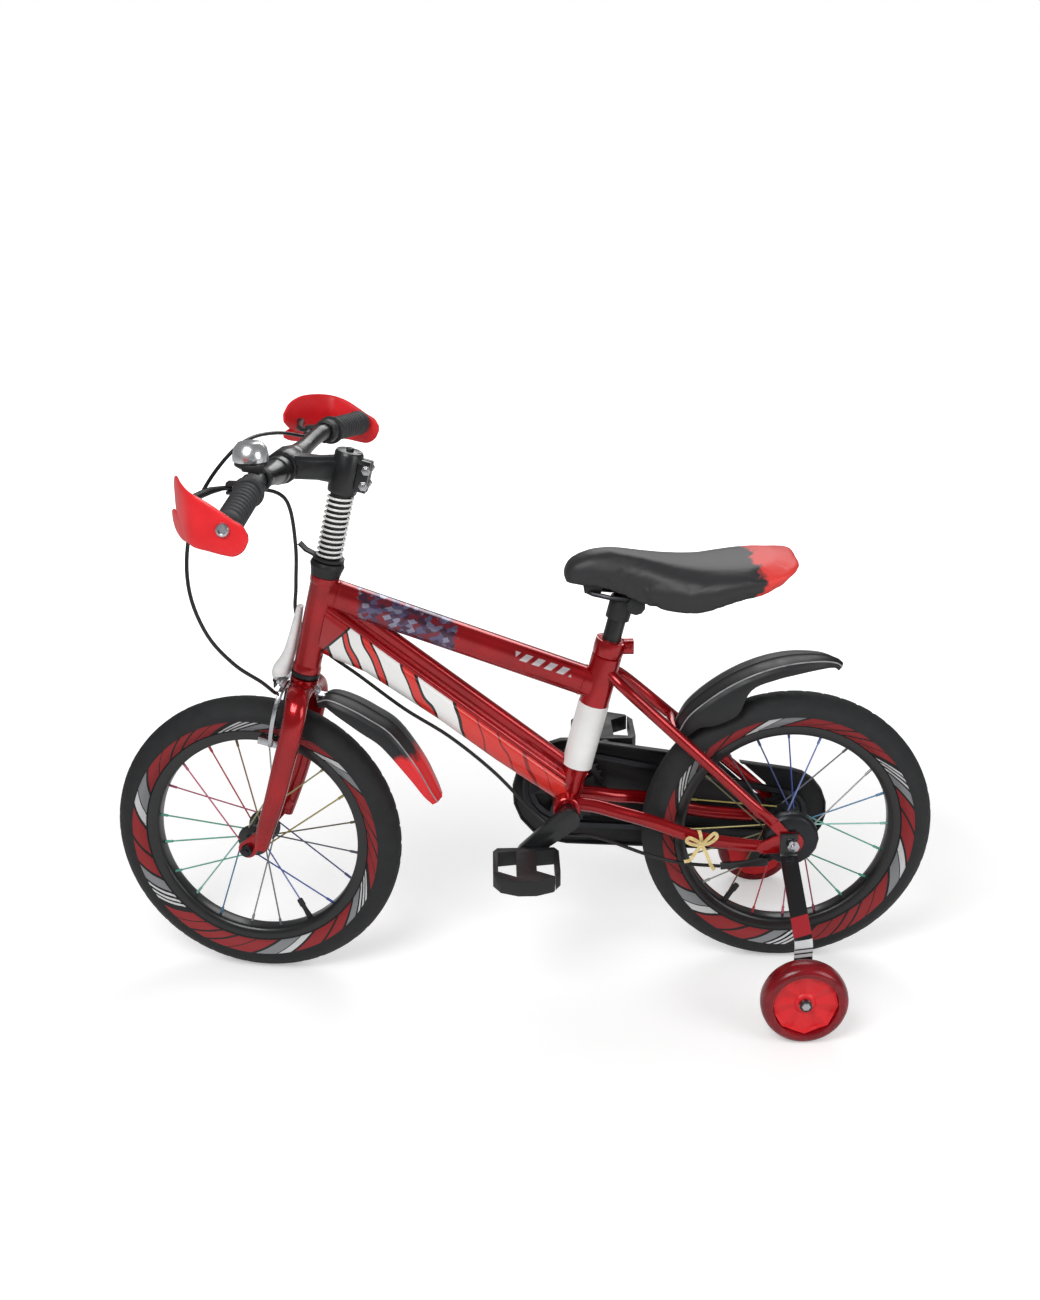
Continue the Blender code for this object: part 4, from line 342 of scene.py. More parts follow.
def panel_paint():
    """The down tube's side panel, glossy: white with slanted black-edged red bars in front, orange red
    behind, and a candy red gusset edged in black where it meets the head tube."""
    made, tree, shader, place = finish_of("panel_enamel", "EDEDEB", 0.28, Coat_Weight=0.6)
    parts = add(tree, "SeparateXYZ", Vector=place).outputs
    wave = add(tree, "TexNoise", Vector=place, Scale=14.0, Detail=1.0)
    slant = sum_of(tree, (parts[0], 1.0), (parts[2], -0.35), (wave.outputs[0], 0.03))
    share = add(tree, "MapRange", Value=slant, From_Min=-0.215, From_Max=0.115)
    red, deep, ink, pale = "D8322A", "8E1A1E", "141214", "F0F0EE"
    bars = striped(tree, share.outputs[0], [
        (0.0, red), (0.2, deep), (0.208, red), (0.27, deep), (0.277, red), (0.33, deep), (0.345, red),
        (0.4, deep), (0.407, red), (0.47, deep), (0.478, red), (0.545, ink), (0.556, pale), (0.64, ink),
        (0.65, red), (0.685, ink), (0.695, pale), (0.775, ink), (0.785, red), (0.805, ink), (0.815, pale),
        (0.86, ink), (0.868, red), (0.885, ink), (0.893, pale), (0.955, ink), (0.965, "A80E18")])
    corner = sum_of(tree, (parts[0], 1.0), (parts[2], 1.2))
    edged = over(tree, between(tree, corner, 0.843, 1.2), bars, ink)
    gusset = over(tree, between(tree, corner, 0.848, 1.2), edged, "A00912")
    tree.links.new(gusset, shader.inputs["Base Color"])
    grain(tree, shader, place, 0.0025, 0.00005, 0.25)
    return made


def red_tipped():
    """Moulded black plastic with a red sprayed tip that fades with a ragged edge."""
    made, tree, shader, place = finish_of("black_moulded_plastic_red_tip", "1B1C1E", 0.42)
    parts = add(tree, "SeparateXYZ", Vector=place).outputs
    ragged = add(tree, "TexNoise", Vector=place, Scale=70.0, Detail=3.0)
    reach = maths(tree, "MULTIPLY_ADD", ragged.outputs[0], 0.03, parts[2])
    tip = add(tree, "MapRange", Value=reach, From_Min=0.362, From_Max=0.348)
    tree.links.new(over(tree, tip.outputs[0], "1C1D1F", "E0262B"), shader.inputs["Base Color"])
    grain(tree, shader, place, 0.0011, 0.00008, 0.5)
    return made


def striped_black():
    """Black enamel on the training wheel arms, with a short band of red and pale bars low down."""
    made, tree, shader, place = finish_of("black_enamel_barred", "17181A", 0.3, Coat_Weight=0.4)
    parts = add(tree, "SeparateXYZ", Vector=place).outputs
    slant = maths(tree, "MULTIPLY_ADD", parts[0], 0.12, parts[2])
    share = add(tree, "MapRange", Value=slant, From_Min=0.05, From_Max=0.12)
    ink, red, pale = "17181A", "A5222B", "C9CACC"
    bars = striped(tree, share.outputs[0], [
        (0.0, ink), (0.24, pale), (0.31, ink), (0.34, pale), (0.4, ink), (0.43, pale), (0.56, ink),
        (0.6, red), (0.78, ink)])
    tree.links.new(bars, shader.inputs["Base Color"])
    grain(tree, shader, place, 0.002, 0.00005, 0.3)
    return made


RED, PRINTED, RUBBER, VINYL = candy("candy_red_enamel")[0], printed_enamel(), tyre_rubber(), saddle_vinyl()
WIRE, PANEL, TIPPED, BARRED = spoke_steel(), panel_paint(), red_tipped(), striped_black()


# Ways of making a piece

def only(piece):
    """Makes the piece the active one, alone selected."""
    bpy.ops.object.select_all(action="DESELECT")
    piece.select_set(True)
    bpy.context.view_layer.objects.active = piece


def drawn(name, points, closed=False):
    """A line drawn by pulling one point along the given ones. It stays in edit mode, all selected."""
    bpy.ops.object.select_all(action="DESELECT")
    bpy.ops.mesh.primitive_plane_add(size=0.001, location=points[0])
    piece = bpy.context.object
    piece.name = name
    bpy.ops.object.transform_apply(location=True)
    bpy.ops.object.mode_set(mode="EDIT")
    bpy.ops.mesh.merge(type="CENTER")
    for before, after in zip(points, points[1:]):
        bpy.ops.mesh.extrude_vertices_move(TRANSFORM_OT_translate={"value": Vector(after) - Vector(before)})
    bpy.ops.mesh.select_all(action="SELECT")
    if closed:
        bpy.ops.mesh.edge_face_add()
    return piece


def modified(piece, kind, **settings):
    """Applies a modifier of the kind to the piece, which is the active one."""
    step = piece.modifiers.new(kind.lower(), kind)
    for key, value in settings.items():
        setattr(step, key, value)
    bpy.ops.object.modifier_apply(modifier=step.name)


def drawn_out(weld=False, flatten=False):
    """Ends edit mode: merges double points, joins faces that lie flat, and turns all faces outward."""
    bpy.ops.mesh.select_all(action="SELECT")
    if weld:
        bpy.ops.mesh.remove_doubles(threshold=0.00001)
    if flatten:
        bpy.ops.mesh.dissolve_limited(angle_limit=math.radians(1))
    bpy.ops.mesh.normals_make_consistent(inside=False)
    bpy.ops.object.mode_set(mode="OBJECT")


def turned(name, profile, steps=96, ring=False):
    """A shape turned about z from points (radius, height). A ring's profile closes on itself."""
    piece = drawn(name, [Vector((r, 0, h)) for r, h in profile + (profile[:1] if ring else [])])
    bpy.ops.mesh.spin(steps=steps, angle=2 * math.pi, center=(0, 0, 0), axis=(0, 0, 1))
    drawn_out(weld=True)
    return piece


def plate(name, outline, low, high, bevel=0.0008):
    """A plate in the xz plane, with the outline (x, z), pulled from y = low to y = high, edges rounded."""
    piece = drawn(name, [Vector((x, low, z)) for x, z in outline], closed=True)
    bpy.ops.mesh.extrude_region_move(TRANSFORM_OT_translate={"value": (0, high - low, 0)})
    drawn_out()
    return softened(piece, bevel)


def softened(piece, width, segments=2, angle=35):
    """Rounds the hard edges and shades by angle."""
    only(piece)
    if width:
        modified(piece, "BEVEL", width=width, segments=segments, angle_limit=math.radians(angle))
    bpy.ops.object.shade_smooth_by_angle(angle=math.radians(angle))
    return piece


def eased(rows, steps):
    """Rows of numbers read from a smooth curve through the given ones, steps to each span."""
    rows = [tuple(row) for row in rows]
    ends = [tuple(2 * a - b for a, b in zip(rows[0], rows[1]))] + rows
    ends.append(tuple(2 * a - b for a, b in zip(rows[-1], rows[-2])))
    result = []
    for k in range(1, len(ends) - 2):
        for s in range(steps):
            t = s / steps
            result.append(tuple(
                0.5 * (2 * b + (c - a) * t + (2 * a - 5 * b + 4 * c - d) * t ** 2
                       + (3 * b - a - 3 * c + d) * t ** 3)
                for a, b, c, d in zip(*ends[k - 1:k + 3])))
    return result + [rows[-1]]


def box(half_width, half_height):
    """The outline of a flat strip."""
    return [(half_width, half_height), (-half_width, half_height), (-half_width, -half_height),
            (half_width, -half_height)]


def oval(half_width, half_height, steps=24, fullness=2.0):
    """An oval outline; more fullness squares its corners."""
    points = []
    for k in range(steps):
        t = 2 * math.pi * (k + 0.5) / steps
        points.append((half_width * math.copysign(abs(math.cos(t)) ** (2 / fullness), math.cos(t)),
                       half_height * math.copysign(abs(math.sin(t)) ** (2 / fullness), math.sin(t))))
    return points


def skin(name, path, outlines, up=UP, angle=40, upright=False):
    """A closed skin along a path, through one outline (across, above) at each of its points.

    The outlines stand square to the path or, when upright, straight up."""
    path = [Vector(p) for p in path]
    if isinstance(outlines[0], tuple):
        outlines = [outlines] * len(path)
    shape = bmesh.new()
    rings = []
    for k, (centre, outline) in enumerate(zip(path, outlines)):
        tangent = (path[min(k + 1, len(path) - 1)] - path[max(k - 1, 0)]).normalized()
        side = up.cross(tangent).normalized()
        above = up if upright else tangent.cross(side)
        rings.append([shape.verts.new(centre + side * a + above * b) for a, b in outline])
    count = len(rings[0])
    for near, far in zip(rings, rings[1:]):
        for k in range(count):
            shape.faces.new((near[k], near[(k + 1) % count], far[(k + 1) % count], far[k]))
    shape.faces.new(rings[0])
    shape.faces.new(rings[-1])
    bmesh.ops.recalc_face_normals(shape, faces=shape.faces)
    mesh = bpy.data.meshes.new(name)
    shape.to_mesh(mesh)
    shape.free()
    return softened(placed(name, mesh), 0, angle=angle)


def tube(name, rows, up=UP, steps=24, fullness=2.0, ease=6, upright=False):
    """A tube through rows (x, y, z, half width, half height)."""
    rows = eased(rows, ease)
    outlines = [oval(r[3], r[4], steps, fullness) for r in rows]
    return skin(name, [row[:3] for row in rows], outlines, up, upright=upright)


def on_side(rows, sign):
    """Rows (x, y, z, ...) for the left side with a sign of 1, for the right side with -1."""
    return [(row[0], sign * row[1], *row[2:]) for row in rows]


def strand(name, points, radius):
    """A round wire along points, made as a bevelled curve and turned into a mesh."""
    line = bpy.data.curves.new(name, "CURVE")
    line.dimensions = "3D"
    line.bevel_depth, line.bevel_resolution, line.use_fill_caps = radius, 4, True
    spline = line.splines.new("POLY")
    spline.points.add(len(points) - 1)
    for spot, place in zip(spline.points, points):
        spot.co = (*place, 1.0)
    only(placed(name, line))
    bpy.ops.object.convert(target="MESH")
    return softened(bpy.context.object, 0, angle=60)


def stood(piece, centre, axis):
    """Stands a turned piece, made about z, at a centre along an axis."""
    turn = UP.rotation_difference(Vector(axis)).to_matrix().to_4x4()
    piece.data.transform(Matrix.Translation(centre) @ turn)
    return piece


def joined(name, *pieces):
    """Several pieces as one object."""
    only(pieces[0])
    for piece in pieces:
        piece.select_set(True)
    bpy.ops.object.join()
    pieces[0].name = name
    return pieces[0]


def flipped(piece, name):
    """The same piece for the bike's other side."""
    twin = placed(name, piece.data.copy())
    twin.data.transform(Matrix.Scale(-1, 4, LEFT))
    twin.data.flip_normals()
    return twin


def keep(piece, finish, body, group=None, stands_for=None):
    """Sets a finished piece in its place, with its material and the body it rides on.

    What rides on the steering turns with it, and a piece called NODE_finish stands for that node."""
    if group is None:
        group = STEER if body == "steering" else BIKE
    piece.data.transform(group)
    if not piece.data.materials:
        piece.data.materials.append(finish)
    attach(piece, body)
    if piece.name.endswith("_finish"):
        stands_for = piece.name[:-len("_finish")]
    if stands_for:
        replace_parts(piece, stands_for)
    return piece


def dressed(node, finish, body, rounding=0.0005, angle=32):
    """A finer copy of a solid whose shape is right: joined faces, rounded edges, its own material."""
    piece = placed(node + "_finish", nodes[node].data.copy())
    piece.data.materials.clear()
    only(piece)
    bpy.ops.object.mode_set(mode="EDIT")
    drawn_out(weld=True, flatten=True)
    piece.data.materials.append(finish)
    softened(piece, rounding, angle=angle)
    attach(piece, body)
    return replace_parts(piece, node)


# Wheels

def round_map(piece):
    """A map that follows a wheel lying about z: turns in u, quarters of a metre from the hub in v."""
    layer = piece.data.uv_layers.new(name="round")
    for face in piece.data.polygons:
        middle = math.atan2(face.center.y, face.center.x)
        for loop in face.loop_indices:
            spot = piece.data.vertices[piece.data.loops[loop].vertex_index].co
            turn = math.atan2(spot.y, spot.x)
            turn += 2 * math.pi * round((middle - turn) / (2 * math.pi))
            layer.data[loop].uv = (turn / (2 * math.pi) + 0.5, math.hypot(spot.x, spot.y) * 4)


def make_tyre():
    """A street tyre: round shoulders, a moulded bead line and slanted grooves pressed into the tread."""
    steps = 288
    half = mm((203.5, 0), (203.2, 4.5), (202, 8.5), (200, 12.2), (196.5, 16.5), (192, 20.8), (187.8, 24),
              (183.5, 25.9), (179, 26.8), (177.8, 26.7), (177.4, 27.1), (176.8, 27.1), (176.4, 26.6),
              (172, 25.6), (168, 23.6), (164.5, 20.8), (161.8, 17.8), (161.2, 18), (160.4, 17.2), (159.2, 15),
              (158.6, 13), (153, 12.5))
    profile = half[::-1] + [(r, -y) for r, y in half[1:]]
    tyre = turned("tyre", profile, steps, ring=True)
    groove_depth, run, inset = 0.0016, 6, 0.0165
    for spot in tyre.data.vertices:
        reach = math.hypot(spot.co.x, spot.co.y)
        if reach < 0.191 or abs(spot.co.z) < 0.001:
            continue
        turn = round(math.atan2(spot.co.y, spot.co.x) / (2 * math.pi) * steps)
        across = round(abs(spot.co.z) / inset * run)
        if (turn + across + (3 if spot.co.z < 0 else 0)) % run == 0:
            spot.co *= (reach - groove_depth) / reach
    only(tyre)
    bpy.ops.object.shade_smooth_by_angle(angle=math.radians(50))
    round_map(tyre)
    return tyre


def make_rim():
    """A box-section rim with a hooked edge, and a shallow well inside."""
    half = mm((152.2, 12.8), (158, 13), (158.8, 14), (158.5, 15), (156, 15.2), (148, 13.8), (145, 12),
              (143.6, 9.5), (143.2, 4))
    rim = turned("rim", half + [(r, -y) for r, y in reversed(half)], 128, ring=True)
    return softened(rim, 0)


def spoke_shades(first):
    """Tints that run round the wheel as rainbow spoke wire does, pale to deep."""
    row = ["7D8FC8", "4A5FA8", "3E4A78", "5A5C66", "6D6A52", "A79A55", "B8AE74", "9DA27A", "B5B7B0",
           "8C6A4E", "C0474F", "D06A86", "A8506E", "5FA88F", "4E9C86", "6FB7A6", "8FC3B8", "5A86A8",
           "9A9CA0", "7C7E84"]
    return row[first:] + row[:first]


def make_spokes(first):
    """Twenty straight wires from flange to rim, each with a nipple, and a tint of its own."""
    count, lean, flange, middle = 20, math.radians(45), 0.0205, 0.025
    wires = []
    for k, shade in zip(range(count), spoke_shades(first)):
        side = 1 if k % 2 else -1
        way = 1 if (k // 2) % 2 else -1
        at_rim = 2 * math.pi * k / count
        at_hub = at_rim + way * lean
        start = Vector((math.cos(at_hub) * flange, math.sin(at_hub) * flange, side * (middle + way * 0.0015)))
        end = Vector((math.cos(at_rim) * 0.1438, math.sin(at_rim) * 0.1438, side * 0.003))
        way_out = (end - start).normalized()
        length = (end - start).length
        wire = turned("wire", [(0, 0), (0.0011, 0.0005), (0.0011, length - 0.012), (0.0019, length - 0.0115),
                               (0.0019, length - 0.001), (0, length)], 10)
        stood(wire, start, way_out)
        tint = wire.data.color_attributes.new("tint", "FLOAT_COLOR", "POINT")
        for entry in tint.data:
            entry.color = linear(shade)
        wires.append(wire)
    spokes = joined("spokes", *wires)
    only(spokes)
    bpy.ops.object.shade_smooth_by_angle(angle=math.radians(40))
    return spokes


def make_hub(left_drum):
    """A hub with drilled flanges; the rear one has the brake drum on its left and the thread on its right."""
    end = 0.0452
    flanges = mm((12.5, -15), (12.8, -22.6), (22.5, -23.4), (23, -25), (22.5, -26.6), (12, -27.2))
    right = [(0.0051, -end), (0.0085, -end), (0.0092, -0.03)]
    if left_drum:
        right = [(0.0051, -end), (0.0085, -end), (0.015, -0.04), (0.015, -0.0272)]
    left_flange = [(r, -y) for r, y in reversed(flanges)]
    left = [(0.0092, 0.03), (0.0085, end), (0.0051, end)]
    if left_drum:
        left = [(0.0355, 0.0274), (0.036, 0.028), (0.036, 0.0424), (0.035, 0.043), (0.012, 0.043),
                (0.0085, end), (0.0051, end)]
    hub = turned("hub", right + flanges[::-1] + left_flange[::-1] + left, 64, ring=True)
    return softened(hub, 0.0004)


def make_valve():
    """The inner tube's valve: a black rubber stem with a ribbed cap."""
    stem = mm((0, 0), (4.2, 0), (4, 6), (3.3, 13), (3.3, 20), (4.2, 20.3), (4.2, 30), (3.6, 31), (0, 31))
    return softened(turned("valve", stem, 20), 0)


def wheels():
    """Both wheels, drawn lying about z and then stood up in their hubs' places."""
    tyre, rim = make_tyre(), make_rim()
    for side, hub_place, group, first, turn in (("front", FRONT_HUB, STEER, 0, 118),
                                                ("rear", REAR_HUB, BIKE, 9, 55)):
        body = side + "_wheel"
        outward = Matrix.Rotation(math.radians(turn), 4, LEFT)
        set_up = group @ Matrix.Translation(hub_place) @ outward @ Matrix.Rotation(math.radians(-90), 4, "X")
        keep(placed(side + "_tyre_finish", tyre.data.copy()), RUBBER, body, set_up)
        keep(placed(side + "_rim_finish", rim.data.copy()), GLOSS, body, set_up)
        keep(make_spokes(first), WIRE, body, set_up, side + "_spokes").name = side + "_wires"
        hub = keep(make_hub(side == "rear"), OXIDE if side == "rear" else GLOSS, body, set_up)
        hub.name = side + "_hub"
        valve = stood(make_valve(), Vector((0.144, 0, 0)), (-1, 0, 0))
        keep(valve, BLACK, body, set_up).name = side + "_valve"
    for model in (tyre, rim):
        bpy.data.objects.remove(model)


wheels()


# Frame

def head_spot(z):
    """The point of the steering axis at a height above the ground."""
    return HEAD_DATUM + HEAD_AXIS * ((z - HEAD_DATUM.z) / HEAD_AXIS.z)


def seat_spot(z):
    """The point of the seat tube's axis at a height above the ground."""
    return SEAT_DATUM + SEAT_AXIS * ((z - SEAT_DATUM.z) / SEAT_AXIS.z)


def on_head(name, profile, steps=48, ring=False):
    """A piece turned about the steering axis, from points (radius, height above the ground)."""
    along = [(r, (z - HEAD_DATUM.z) / HEAD_AXIS.z) for r, z in profile]
    return stood(turned(name, along, steps, ring), HEAD_DATUM, HEAD_AXIS)


def on_seat(name, profile, steps=48, ring=False):
    """A piece turned about the seat tube's axis, from points (radius, height above the ground)."""
    along = [(r, (z - SEAT_DATUM.z) / SEAT_AXIS.z) for r, z in profile]
    return stood(turned(name, along, steps, ring), SEAT_DATUM, SEAT_AXIS)


def weld_bead(name, centre, way, half_width, half_height, thick=0.0016):
    """The low bead left where one tube is welded to another."""
    beads = [Vector(centre) + way * k * thick for k in (-1.2, -0.5, 0.5, 1.2)]
    grow = [-0.2, 0.55, 0.55, -0.2]
    outlines = [oval(half_width + g * thick, half_height + g * thick, 48, 2.4) for g in grow]
    return skin(name, beads, outlines)


def frame_tubes():
    """Head tube, top tube with its weld beads, and seat tube with its white sleeve."""
    head = on_head("head_tube_finish", mm((15.5, 449), (18.6, 449), (19.3, 449.6), (19.3, 456.4), (19, 457.2),
        (18.1, 459.5), (18, 460.5), (18, 572.5), (18.2, 573.5), (19, 575.8), (19.3, 576.6), (19.3, 583.4),
        (18.6, 584), (15.5, 584)), 64, ring=True)
    keep(softened(head, 0), RED, "frame")

    start, end = seat_spot(0.4225) + FORWARD * 0.004, head_spot(0.5605) - FORWARD * 0.007
    way = (end - start).normalized()
    path = [start, start.lerp(end, 0.35), start.lerp(end, 0.8), end]
    top = skin("top_tube_finish", path,
               [oval(0.0175 * w, 0.0205, 40, 2.6) for w in (1.0, 1.0, 0.97, 0.9)])
    beads = [weld_bead("bead", start + way * 0.02, way, 0.0175, 0.0205),
             weld_bead("bead", end - way * 0.013, way, 0.0158, 0.0205)]
    keep(joined("top_tube_finish", top, *beads), PRINTED, "frame")

    seat = on_seat("seat_tube_finish", mm((0, 260), (16.8, 260), (16.8, 290), (17.6, 296), (19.8, 308),
        (20.5, 314), (20.5, 462), (20.2, 464), (17.2, 466.2), (16.8, 467), (16.8, 487.4), (16.2, 488), (13, 488),
        (13, 440)), 64)
    sleeve = on_seat("seat_tube_sleeve", mm((20.4, 303), (21.2, 303.6), (21.2, 395),
        (20.4, 395.6)), 64, ring=True)
    keep(softened(seat, 0), RED, "frame")
    keep(softened(sleeve, 0), WHITE, "frame")


def down_tube():
    """The drawn down tube: a round ridge on top, a bead under it and a flat-sided panel below."""
    slope = math.atan(0.8066)
    run = Vector((math.cos(slope), 0, math.sin(slope)))
    ridge_start = Vector((0.281, 0, 0.2952))
    stations = mm((-4, 59, 14.8), (0, 59.6, 15), (110, 64, 17.8), (210, 64, 18.2), (330, 70, 18),
                  (385, 83, 16.5), (400, 85, 16))
    path = [ridge_start + run * s for s, _, _ in stations]
    ridge, panel = [], []
    for _, height, width in stations:
        scale = width / 0.0182
        top = mm((6.2, -1.4), (8.6, -5), (9.5, -9), (8.8, -13.2), (7.2, -16.5), (6.4, -18.5), (7.2, -20.3),
                 (10.5, -21.4), (13.2, -23), (14.6, -25.2), (14.6, -27.4), (13.6, -29.6))
        low = [(0.014, -0.029), (0.0166, -0.0312), (0.018, -0.0335), (0.0184, -0.037),
               (0.0184, -height + 0.018), (0.0176, -height + 0.0115), (0.0152, -height + 0.006),
               (0.0112, -height + 0.0022), (0.006, -height + 0.0002)]
        for target, half, first, last in ((ridge, top, 0.0, -0.031), (panel, low, -0.027, -height)):
            half = [(w * scale, d) for w, d in half]
            target.append([(0.0, first)] + half + [(0.0, last)] + [(-w, d) for w, d in reversed(half)])
    ridge, panel = skin("down_tube_ridge", path, ridge, angle=50), skin("down_tube_panel", path, panel, angle=50)
    for piece, count in ((ridge, 26), (panel, 20)):
        for spot in piece.data.vertices[-count:]:
            spot.co += run * ((-0.01 - (spot.co - HEAD_DATUM).dot(HEAD_FORE)) / run.dot(HEAD_FORE))
    keep(ridge, RED, "frame")
    keep(panel, PANEL, "frame", stands_for="down_tube")


def rear_triangle():
    """Chain stays with their dropouts, and seat stays: the left ones, and the same flipped for the right."""
    chain_rows = mm((300, 19, 252.5, 9.5, 9.8), (270, 21, 249, 9.5, 9.8), (238, 26.2, 241.2, 9.5, 9.8),
                    (205, 34.5, 234.5, 8.5, 10), (180, 39.5, 227, 7.2, 10), (150, 43, 216, 6.4, 10),
                    (120, 45.2, 207, 5.8, 10), (80, 46.8, 200.5, 5.2, 9.8), (40, 47.8, 196, 4.6, 9))
    seat_rows = mm((266, 6, 453, 8, 8), (247, 15, 438.5, 8, 8), (232, 25, 425.8, 8, 8), (205, 31, 401, 8, 8),
                   (130, 41.3, 330.8, 8, 8), (56, 51.5, 261.2, 7, 8), (35, 52, 241.5, 3, 8),
                   (26.5, 52, 233.6, 2.2, 8))
    round_end = [(0.016 * math.cos(t), 0.2035 + 0.016 * math.sin(t))
                 for t in [math.radians(a) for a in range(70, 291, 20)]]
    outline = round_end + mm((30, 187.2), (43, 187.5), (49, 196), (43, 204.5), (24, 214))
    chain_stay = tube("chain_stay_left_finish", chain_rows, ease=5)
    dropout = plate("dropout", outline, 0.05, 0.054, 0.0007)
    tongue = skin("tongue", mm((4, 52, 208), (26.2, 52, 233.3)),
                  box(0.0018, 0.0075),
                  Vector((-0.75, 0, 0.66)))
    chain_stay = joined("chain_stay_left_finish", chain_stay, dropout, tongue)
    seat_stay = tube("seat_stay_left_finish", seat_rows, ease=5)
    for left in (chain_stay, seat_stay):
        right = flipped(left, left.name.replace("left", "right"))
        keep(right, RED, "frame")
        keep(left, RED, "frame")
    for node in ("seat_stay_bridge", "seat_clamp", "bottom_bracket_shell"):
        dressed(node, RED, "frame", 0.0006)


def packing_tie():
    """The pale paper tie left on the chain stay: one turn round it, a bow of two loops and two tails."""
    knot = (0.125, 0.055, 0.204)
    turn = [(0.125 + 0.004 * math.sin(t / 2), 0.045 + 0.0078 * math.cos(t), 0.208 + 0.0122 * math.sin(t))
            for t in [2 * math.pi * k / 12 for k in range(13)]]
    bow = [knot, (0.133, 0.059, 0.212), (0.143, 0.06, 0.217), (0.146, 0.058, 0.21),
           (0.135, 0.056, 0.204), knot, (0.118, 0.059, 0.214), (0.109, 0.061, 0.224),
           (0.105, 0.059, 0.217), (0.114, 0.0565, 0.207), knot]
    tails = [[knot, (0.134, 0.058, 0.193), (0.141, 0.06, 0.183), (0.149, 0.0585, 0.18)],
             [knot, (0.118, 0.059, 0.19), (0.113, 0.06, 0.177), (0.107, 0.058, 0.166)]]
    flat = box(0.0024, 0.0006)
    strips = [skin("strip", eased(turn, 3), [(b, a) for a, b in flat], FORWARD)]
    strips += [skin("strip", eased(row, 5), flat, LEFT) for row in [bow] + tails]
    keep(joined("packing_tie", *strips), TIE, "frame")


frame_tubes()
down_tube()
rear_triangle()
packing_tie()


# Fork, stem and bar

BRAKE_BOLT = head_spot(0.4245) + HEAD_FORE * 0.019


def fork():
    """Unicrown fork: two oval blades out of one bend, flattened tips, the steerer and the brake bolt."""
    half = mm((719, 61.5, 209.5, 8, 9.5), (711.5, 61.5, 235, 9.2, 12), (695.8, 61.5, 282, 10, 13.8),
              (681.5, 61.5, 332, 10, 14.6), (670, 61.2, 372, 10.2, 14.8), (664, 59, 397, 10.6, 15),
              (662.5, 50, 415, 11, 15.2), (664, 34, 423.5, 11.4, 15.8), (666, 16, 424.5, 11.6, 16.6))
    rows = half + mm((666.5, 0, 424.5, 11.6, 16.6)) + on_side(half[::-1], -1)
    blades = tube("blades", rows, HEAD_FORE, 28, 2.2)
    race = on_head("race", mm((0, 420), (15, 420), (17.2, 427), (19, 436.5), (19, 439.6), (12.7, 439.9),
                              (12.7, 745), (0, 745)))
    tips = []
    for sign in (1, -1):
        low, high = sorted((sign * 0.0515, sign * 0.0555))
        outline = [(WHEELBASE + 0.013 * math.cos(math.radians(a)), 0.2035 + 0.013 * math.sin(math.radians(a)))
                   for a in range(200, 391, 19)] + mm((722.5, 233.5), (713, 240), (704, 227))
        tips.append(plate("tip", outline, low, high, 0.0007))
    legs = joined("fork_finish", softened(blades, 0, angle=50), softened(race, 0), *tips)
    keep(legs, RED, "steering")
    bolt = turned("brake_bolt", mm((0, -10), (3, -10), (3, 13.1), (5.8, 13.1), (5.8, 17.2), (5, 18.2), (3, 19),
        (0, 19)), 6)
    keep(stood(softened(bolt, 0.0003), BRAKE_BOLT, HEAD_FORE), ZINC, "steering")


def bar_spot(y, sign=1):
    """The point of the bar's straight outer stretch at distance y from the middle."""
    start, end = Vector((0.6675, 0.166, 0.7415)), Vector((0.655, 0.306, 0.727))
    point = start.lerp(end, (y - start.y) / (end.y - start.y))
    return Vector((point.x, sign * point.y, point.z))


def bar():
    """The handlebar: a thick middle in the clamp, thin ends that rise and sweep back."""
    half = mm((676, 0, 731, 15), (676, 21, 731, 15), (676, 24.5, 731, 17.8), (676, 40, 731.2, 18),
              (676, 48, 731.6, 15.8), (675.5, 76, 733.8, 13), (674.5, 96, 736.2, 11.4),
              (671.5, 130, 740.5, 11.2), (667.5, 166, 741.5, 11.2), (655, 305.5, 727, 11.2))
    rows = [(x, -y, z, r, r) for x, y, z, r in half[::-1]] + [(x, y, z, r, r) for x, y, z, r in half[1:]]
    keep(tube("handlebar_finish", rows, UP, 28, 2.0, 4), GLOSS, "steering")


def grip(side, sign):
    """A slip-on grip: a flange, a sleeve with rounded ribs and a domed end."""
    inner, outer = 0.187, 0.31
    length = outer - inner
    profile = mm((11.6, 0), (19, 0), (19.5, 0.6), (19.5, 3.4), (18.8, 4.2), (16.2, 5.2), (15.8, 7))
    ribs = 9
    pitch = (length - 0.03) / ribs
    for k in range(ribs):
        base = 0.012 + pitch * k
        profile += [(0.0154, base), (0.0163, base + 0.1 * pitch), (0.0167, base + 0.25 * pitch),
                    (0.0167, base + 0.6 * pitch), (0.0163, base + 0.76 * pitch), (0.0154, base + 0.86 * pitch)]
    profile += [(0.0158, length - 0.015), (0.0172, length - 0.0125), (0.0176, length - 0.01),
                (0.0176, length - 0.003), (0.0166, length - 0.0008), (0.015, length), (0.003, length)]
    sleeve = softened(turned("grip_%s_finish" % side, profile, 40), 0)
    start, end = bar_spot(inner, sign), bar_spot(outer, sign)
    stood(sleeve, start, end - start)
    keep(sleeve, GRIP, "steering")


